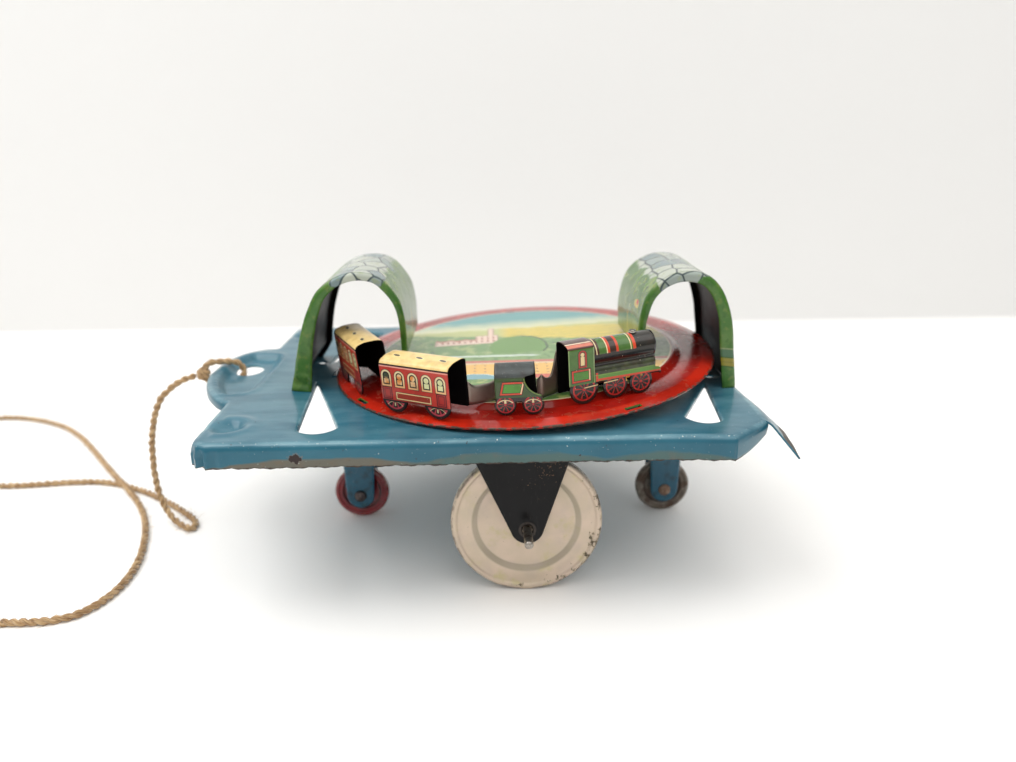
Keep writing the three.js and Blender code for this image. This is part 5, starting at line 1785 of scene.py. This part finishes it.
def rivet(name, look):
    """Set rivet: domed head below, hammered head above."""
    head, shank, high_head = 2.1, 1.1, 0.8
    bottom = low(name).z + high_head
    top = high(name).z - high_head
    dome = [(head * math.sin(t), bottom - high_head * math.cos(t)) for t in np.linspace(0, math.pi / 2, 7)]
    cap = [(head * math.cos(t), top + high_head * math.sin(t) ** 0.8) for t in np.linspace(0, math.pi / 2, 7)]
    profile = dome + [(head, bottom), (shank, bottom), (shank, top), (head, top)] + cap[1:]
    profile[-1] = (0.0, profile[-1][1])
    build = Build()
    add_lathe(build, profile, 40)
    centre = middle(name)
    place = Matrix.Translation((centre.x, centre.y, 0))
    build.piece(name + "_head", [name], [look], place=place, sharp=50)


def pin(name, look):
    """Headed pin about Y."""
    centre = middle(name)
    half = half_size(name).y
    head, shank, face = 2.0, 1.2, half - 0.9
    profile = [(0, -half)]
    profile += [(head * math.sin(t), -face - 0.9 * math.cos(t)) for t in np.linspace(0.3, math.pi / 2, 6)]
    profile += [(shank, -face), (shank, face)]
    profile += [(head * math.cos(t), face + 0.9 * math.sin(t)) for t in np.linspace(0, math.pi / 2 - 0.3, 6)]
    profile.append((0, half))
    build = Build()
    add_lathe(build, profile, 40)
    build.piece(name + "_headed", [name], [look], place=Matrix.Translation(centre) @ LYING, sharp=50)


def running_gear():
    black, blue = black_enamel(), fork_blue()
    for end in ("front", "rear"):
        name = "drive_bracket_" + end
        holder(name, DRIVE, half_top=15, leg_y=6, thickness=0.6, look=black, turned_rims=0.9)
    for end in ("nose", "tail"):
        tip = middle(end + "_hub")
        holder(end + "_fork", tip, half_top=6.4, leg_y=5, thickness=SHEET, look=blue, turned_rims=0.7)
        pin(end + "_wheel_pin", dark_pin() if end == "nose" else rusty_pin())
    tinned = tinned_rivet()
    for name in SLOT_OF:
        if "rivet" in name:
            rivet(name, tinned)


def dark_pin():
    paint = Paint("dark_pin", (62, 56, 58), 0.3, metallic=0.8)
    paint.layer((110, 98, 92), paint.noise(0.9, 4).above(0.52, 0.15) * 0.8)
    paint.specks(0.4, 0.08, RUST_DARK, seed=2, roughness=0.8)
    return paint.done()


def rusty_pin():
    paint = Paint("rusty_pin", (124, 96, 76), 0.55, metallic=0.4)
    paint.layer((170, 150, 132), paint.noise(0.9, 4).above(0.54, 0.1) * 0.8)
    paint.specks(0.5, 0.2, (82, 48, 28), seed=3, roughness=0.9)
    paint.add_bump(paint.noise(0.4, 3, seed=3) * 0.1)
    return paint.done()


def tinned_rivet():
    paint = Paint("tinned_rivet", (128, 120, 112), 0.36, metallic=0.85)
    paint.layer((88, 74, 62), paint.noise(1.1, 4).above(0.52, 0.15) * 0.7)
    paint.specks(0.4, 0.08, RUST, seed=5, roughness=0.8)
    return paint.done()


running_gear()


# ------------------------------------------------------------------ spindle group


def deck_span(name):
    """Lowest and highest point of a node along the leaning axis of the turntable."""
    back = DECK.inverted()
    obj = bpy.data.objects[name]
    heights = [(back @ (obj.matrix_world @ v.co / MM - HOME)).z for v in obj.data.vertices]
    return min(heights), max(heights)


def on_spindle(name, profile_of, look, facets=64):
    """Turned piece about the leaning axis, shaped from the node's own lowest and highest point."""
    bottom, top = deck_span(name)
    build = Build()
    add_lathe(build, profile_of(bottom, top), facets)
    build.piece(name + "_turned", [name], [look], place=DECK, sharp=45)


SPINDLE_BORE = 1.55  # of the pieces that are pressed on the spindle


def spindle_parts():
    on_spindle("spindle", spindle_profile, plain_steel("spindle_steel", 9.0), 40)
    on_spindle("spindle_flange", flange_profile, STEEL)
    on_spindle("spindle_spacer", collar_profile(3, 0.2), STEEL)
    on_spindle("friction_collar", collar_profile(3.4, 0.35), STEEL)
    on_spindle("friction_disc", disc_profile, plain_steel("friction_disc_steel", 3.0), 128)
    on_spindle("spindle_bush", bush_profile, bush_tin())


# Each profile is drawn from the node's lowest point to its highest one.


def spindle_profile(low_end, high_end):
    return [(0, low_end), (1.1, low_end), (1.5, low_end + 0.4), (1.5, high_end), (0, high_end)]


def flange_profile(low_end, high_end):
    edge = [(6.2, low_end), (7, high_end - 0.3), (7, high_end)]
    return rounded([(SPINDLE_BORE, low_end), *edge, (SPINDLE_BORE, high_end)], 0.3)


def collar_profile(radius, rounding):
    """Profile of a plain collar with rounded edges, still to be given its ends."""

    def profile(low_end, high_end):
        outside = [(radius, low_end), (radius, high_end)]
        return rounded([(SPINDLE_BORE, low_end), *outside, (SPINDLE_BORE, high_end)], rounding)

    return profile


def disc_profile(low_end, high_end):
    """Flat friction disc with an eased edge and a shallow turned hollow in its upper side."""
    edge = [(15, low_end), (15, high_end), (13.4, high_end)]
    hollow = [(13.2, high_end - 0.12), (5.2, high_end - 0.12), (5.0, high_end)]
    return rounded([(SPINDLE_BORE, low_end), *edge, *hollow, (SPINDLE_BORE, high_end)], 0.14)


def bush_profile(low_end, high_end):
    under = high_end - 0.7
    barrel = [(3.2, low_end), (3.2, under), (6.5, under), (6.5, high_end)]
    return rounded([(1.59, low_end), *barrel, (1.59, high_end)], 0.25)


def bush_tin():
    paint = Paint("bush_tin", (140, 130, 116), 0.4, metallic=0.8)
    paint.layer((96, 84, 70), paint.noise(2, 5).above(0.5, 0.2) * 0.7)
    paint.specks(0.5, 0.06, RUST, seed=4, roughness=0.8)
    return paint.done()


spindle_parts()


# ------------------------------------------------------------------ twine

KNOT = Vector((-105.6, 7.4, 48.6))
PLY_RADIUS, PLY_OUT, PLY_PITCH = 0.62, 0.5, 5.2
ON_FLOOR = 1.1
HITCH_PATH = (
    (-105.4, 7.4, 49.6), (-104, 7.6, 52), (-99.4, 8.2, 52.4), (-94.6, 8.8, 51.8), (-92.8, 9, 48.6),
    (-95, 8.8, 45.6), (-100, 8, 44.8), (-104, 7.6, 45.8), (-105, 7.4, 48),
)
CORD_END = Vector((-166.6, -56.9, 2.0))
CORD_FALL = (
    (-108, 7.2, 48.2), (-113, 5.4, 46.6), (-119.5, 3.6, 41), (-123.4, 2, 28), (-122, -2, 10), (-116, -7, 2.6),
)
CORD_FLOOR = (
    (-109.5, -10.4), (-109.8, -6), (-122, 7), (-139, 20.3), (-157, 28), (-192.5, 26.3), (-222, 33),
    (-247, 58), (-252, 86), (-235.5, 101), (-203, 90.2), (-158, 39), (-127.5, -3.5), (-117.6, -41),
    (-123.6, -58), (-142.5, -61), (-166, -57),
)
CORD_PATH = CORD_FALL + tuple((x, y, ON_FLOOR) for x, y in CORD_FLOOR)


def carried_frames(line):
    """Two directions across a line at each point, carried along it without twist."""
    along = np.gradient(line, axis=0)
    along /= np.linalg.norm(along, axis=1)[:, None]
    side = np.cross(along[0], (0.31, 0.2, 0.93))
    sides = []
    for direction in along:
        side = side - direction * (side @ direction)
        side = side / np.linalg.norm(side)
        sides.append(side)
    sides = np.array(sides)
    return sides, np.cross(along, sides)


def add_tube(build, line, radii, facets=8):
    """Tube along a line. Its print has u round the tube and v along it, both in millimetres."""
    sides, ups = carried_frames(line)
    run = run_along(line)
    points, uvs = [], []
    for centre, side, up, radius, v in zip(line, sides, ups, radii, run):
        for k in range(facets):
            turn = 2 * math.pi * k / facets
            points.append(centre + radius * (math.cos(turn) * side + math.sin(turn) * up))
            uvs.append((abs(k - facets / 2) / facets * 4, v))
    ends = [tuple(reversed(range(facets))), tuple(range(len(points) - facets, len(points)))]
    build.add(points, flipped(grid_faces(len(line), facets, closed=True)) + ends, uvs)


def add_twine(build, path, spacing=0.5):
    """Two plies twisted round each other, each a little uneven."""
    line = evenly(path, spacing)
    sides, ups = carried_frames(line)
    run = np.arange(len(line)) * spacing
    ease = np.minimum(1.0, (np.minimum(run, run[-1] - run) + 0.3) / 1.5)
    for ply in (0, 1):
        turn = 2 * math.pi * run / PLY_PITCH + math.pi * ply + 0.35 * np.sin(run * 0.23 + ply)
        out = PLY_OUT * (1 + 0.08 * np.sin(run * 0.9 + 2 * ply))
        centre = line + (out * np.cos(turn))[:, None] * sides + (out * np.sin(turn))[:, None] * ups
        radii = PLY_RADIUS * (1 + 0.1 * np.sin(run * 1.7 + ply) * np.sin(run * 0.31)) * ease
        add_tube(build, centre, radii)
    return line


def add_fuzz(build, line, count):
    """Loose fibres that stand off the twine."""
    along = np.gradient(line, axis=0)
    for _ in range(count):
        i = DRAW.randrange(2, len(line) - 2)
        direction = Vector(along[i]).normalized()
        out = Vector((DRAW.gauss(0, 1), DRAW.gauss(0, 1), DRAW.gauss(0, 1)))
        out = (out - direction * out.dot(direction)).normalized()
        length = DRAW.uniform(0.9, 3.4)
        curl = Vector((DRAW.gauss(0, 1), DRAW.gauss(0, 1), DRAW.gauss(0, 1))) * 0.25
        root = Vector(line[i]) + out * 0.75
        heading = out * DRAW.uniform(0.25, 0.8) + direction * DRAW.choice((-1, 1))
        points = []
        for t in np.linspace(0, 1, 6):
            point = root + heading * length * t + curl * length * t * t
            points.append((point.x, point.y, max(point.z, 0.12)))
        thickness = DRAW.uniform(0.035, 0.06)
        add_tube(build, np.array(points), thickness * np.array([1, 1, 0.9, 0.8, 0.6, 0.3]), facets=3)


def add_knot(build, centre, axis, size):
    """Coil of twine drawn tight, as an overhand knot looks."""
    axis = Vector(axis).normalized()
    side = axis.cross(Vector((0.2, 0.9, 0.3))).normalized()
    up = axis.cross(side)
    turns = np.linspace(0, 2 * math.pi * 2.6, 90)
    path = []
    for t in turns:
        share = t / turns[-1]
        radius = size * (0.75 + 0.25 * math.sin(math.pi * share))
        along = axis * (share - 0.5) * size * 1.9 + (side * math.cos(t) + up * math.sin(t)) * radius
        path.append(tuple(Vector(centre) + along))
    add_twine(build, np.array(path), 0.4)


def jute():
    paint = Paint("jute_twine", (178, 142, 98), 0.9)
    paint.sheen = 0.3
    fibre = paint.noise(0.34, 4, stretch=(1, 7, 1), printed=True)
    paint.layer((216, 188, 146), fibre.above(0.52, 0.12) * 0.8)
    paint.layer((112, 82, 50), fibre.below(0.44, 0.1) * 0.8)
    paint.layer((150, 116, 76), paint.noise(8, 4).above(0.5, 0.25) * 0.6)
    paint.add_bump(fibre * 0.22)
    return paint.done()


def twine():
    look = jute()
    hitch = Build()
    loop = add_twine(hitch, spline(HITCH_PATH, 14))
    add_knot(hitch, KNOT, (0.55, -0.1, 0.8), 1.35)
    add_fuzz(hitch, loop, 40)
    hitch.piece("cord_hitch_twine", ["cord_hitch"], [look], sharp=75)
    cord = Build()
    line = add_twine(cord, spline(CORD_PATH, 14))
    add_knot(cord, CORD_END, (1, 0.05, 0), 1.1)
    add_fuzz(cord, line, 520)
    cord.piece("pull_cord_twine", ["pull_cord"], [look], sharp=75)


twine()


# ------------------------------------------------------------------ stage, light and camera

# The stage, lights and camera are placed in metres from HOME.
HOME_M = HOME * MM
WALL_Y = 0.272


def one_way(name, color, roughness, mottle):
    """Matt stage surface that can be looked through from behind, with faint unevenness."""
    material = bpy.data.materials.new(name)
    material.use_nodes = True
    tree = material.node_tree
    tree.nodes.clear()
    noise = tree.nodes.new("ShaderNodeTexNoise")
    noise.inputs["Scale"].default_value = mottle
    ramp = tree.nodes.new("ShaderNodeMix")
    ramp.data_type = "RGBA"
    ramp.inputs[6].default_value = (*[0.985 * c for c in linear(color)], 1)
    ramp.inputs[7].default_value = (*linear(color), 1)
    tree.links.new(noise.outputs["Fac"], ramp.inputs[0])
    matt = tree.nodes.new("ShaderNodeBsdfPrincipled")
    matt.inputs["Roughness"].default_value = roughness
    tree.links.new(ramp.outputs[2], matt.inputs["Base Color"])
    clear = tree.nodes.new("ShaderNodeBsdfTransparent")
    side = tree.nodes.new("ShaderNodeNewGeometry")
    choose = tree.nodes.new("ShaderNodeMixShader")
    tree.links.new(side.outputs["Backfacing"], choose.inputs[0])
    tree.links.new(matt.outputs[0], choose.inputs[1])
    tree.links.new(clear.outputs[0], choose.inputs[2])
    output = tree.nodes.new("ShaderNodeOutputMaterial")
    tree.links.new(choose.outputs[0], output.inputs[0])
    return material


def stage_sheet(name, corners, look):
    mesh = bpy.data.meshes.new(name)
    mesh.from_pydata([Vector(corner) + HOME_M for corner in corners], [], [(0, 1, 2, 3)])
    mesh.materials.append(look)
    sheet = bpy.data.objects.new(name, mesh)
    bpy.context.scene.collection.objects.link(sheet)


def area_light(name, place, target, width, height, power):
    light = bpy.data.lights.new(name, "AREA")
    light.shape = "RECTANGLE"
    light.size, light.size_y = width, height
    light.energy = power
    lamp = bpy.data.objects.new(name, light)
    lamp.location = Vector(place) + HOME_M
    lamp.rotation_euler = (Vector(target) - Vector(place)).to_track_quat("-Z", "Y").to_euler()
    bpy.context.scene.collection.objects.link(lamp)


def room():
    """Pale room, bright overhead and dim behind the camera."""
    world = bpy.data.worlds.new("room")
    world.use_nodes = True
    tree = world.node_tree
    direction = tree.nodes.new("ShaderNodeTexCoord")
    split = tree.nodes.new("ShaderNodeSeparateXYZ")
    tree.links.new(direction.outputs["Generated"], split.inputs[0])
    up, side, ahead = (Num(tree, split.outputs[axis]) for axis in (2, 0, 1))
    overhead = (up * 1.3 + 0.1).op("MULTIPLY", 1.0, clamp=True)
    behind_toy = (ahead + 0.2).op("MULTIPLY", 0.9, clamp=True)
    level = overhead * 0.6 + (side * -0.12) + behind_toy * 0.3 + 0.2
    background = tree.nodes["Background"]
    background.inputs["Color"].default_value = (1.0, 0.975, 0.94, 1)
    tree.links.new(level.source, background.inputs["Strength"])
    return world


def studio():
    reach = 1.6
    floor = one_way("floor_matt", (250, 249, 247), 0.7, 14)
    wall = one_way("wall_matt", (232, 232, 231), 0.8, 9)
    foot_left, foot_right = (-reach, WALL_Y, 0), (reach, WALL_Y, 0)
    stage_sheet("floor", [(-reach, -reach, 0), (reach, -reach, 0), foot_right, foot_left], floor)
    stage_sheet("wall", [foot_left, foot_right, (reach, WALL_Y, reach), (-reach, WALL_Y, reach)], wall)
    area_light("window_light", (-0.55, -0.1, 0.95), (0, 0, 0.03), 0.7, 0.7, 5.5)
    area_light("ceiling_light", (0.3, -0.35, 1.1), (0, 0.05, 0.03), 1.2, 1.0, 5.0)
    area_light("front_fill", (0.2, -1.1, 0.45), (0, 0, 0.05), 0.9, 0.6, 0.7)
    bpy.context.scene.world = room()


def colour_response():
    """Plain colours, so that near-white surroundings stay near white."""
    bpy.context.scene.view_settings.view_transform = "Standard"
    bpy.context.scene.view_settings.look = "None"


CAMERA_PLACE = Vector((-0.0116, -0.2447, 0.1242))
CAMERA_PAN, CAMERA_TILT, CAMERA_ROLL = -1.5, -17.6, 0.55  # degrees
LENS_MM, SENSOR_MM, APERTURE = 27.92, 36.0, 10.0
FOCUS_PLACE = Vector((-0.005, -0.05, 0.062))  # front of the train


def photo_camera():
    """Camera at the photograph's place and angle, focused on the front of the train."""
    focus = bpy.data.objects.new("focus", None)
    focus.location = FOCUS_PLACE + HOME_M
    bpy.context.scene.collection.objects.link(focus)
    lens = bpy.data.cameras.new("camera")
    lens.lens, lens.sensor_width = LENS_MM, SENSOR_MM
    lens.clip_start, lens.clip_end = 0.01, 20.0
    lens.dof.use_dof = True
    lens.dof.focus_object = focus
    lens.dof.aperture_fstop = APERTURE
    camera = bpy.data.objects.new("camera", lens)
    turn = (
        Matrix.Rotation(math.radians(CAMERA_PAN), 3, "Z")
        @ Matrix.Rotation(math.radians(CAMERA_TILT), 3, "X")
        @ Matrix.Rotation(math.radians(CAMERA_ROLL), 3, "Y")
        @ Matrix.Rotation(math.radians(90), 3, "X")
    )
    camera.matrix_world = Matrix.Translation(CAMERA_PLACE + HOME_M) @ turn.to_4x4()
    bpy.context.scene.collection.objects.link(camera)
    bpy.context.scene.camera = camera


studio()
colour_response()
photo_camera()
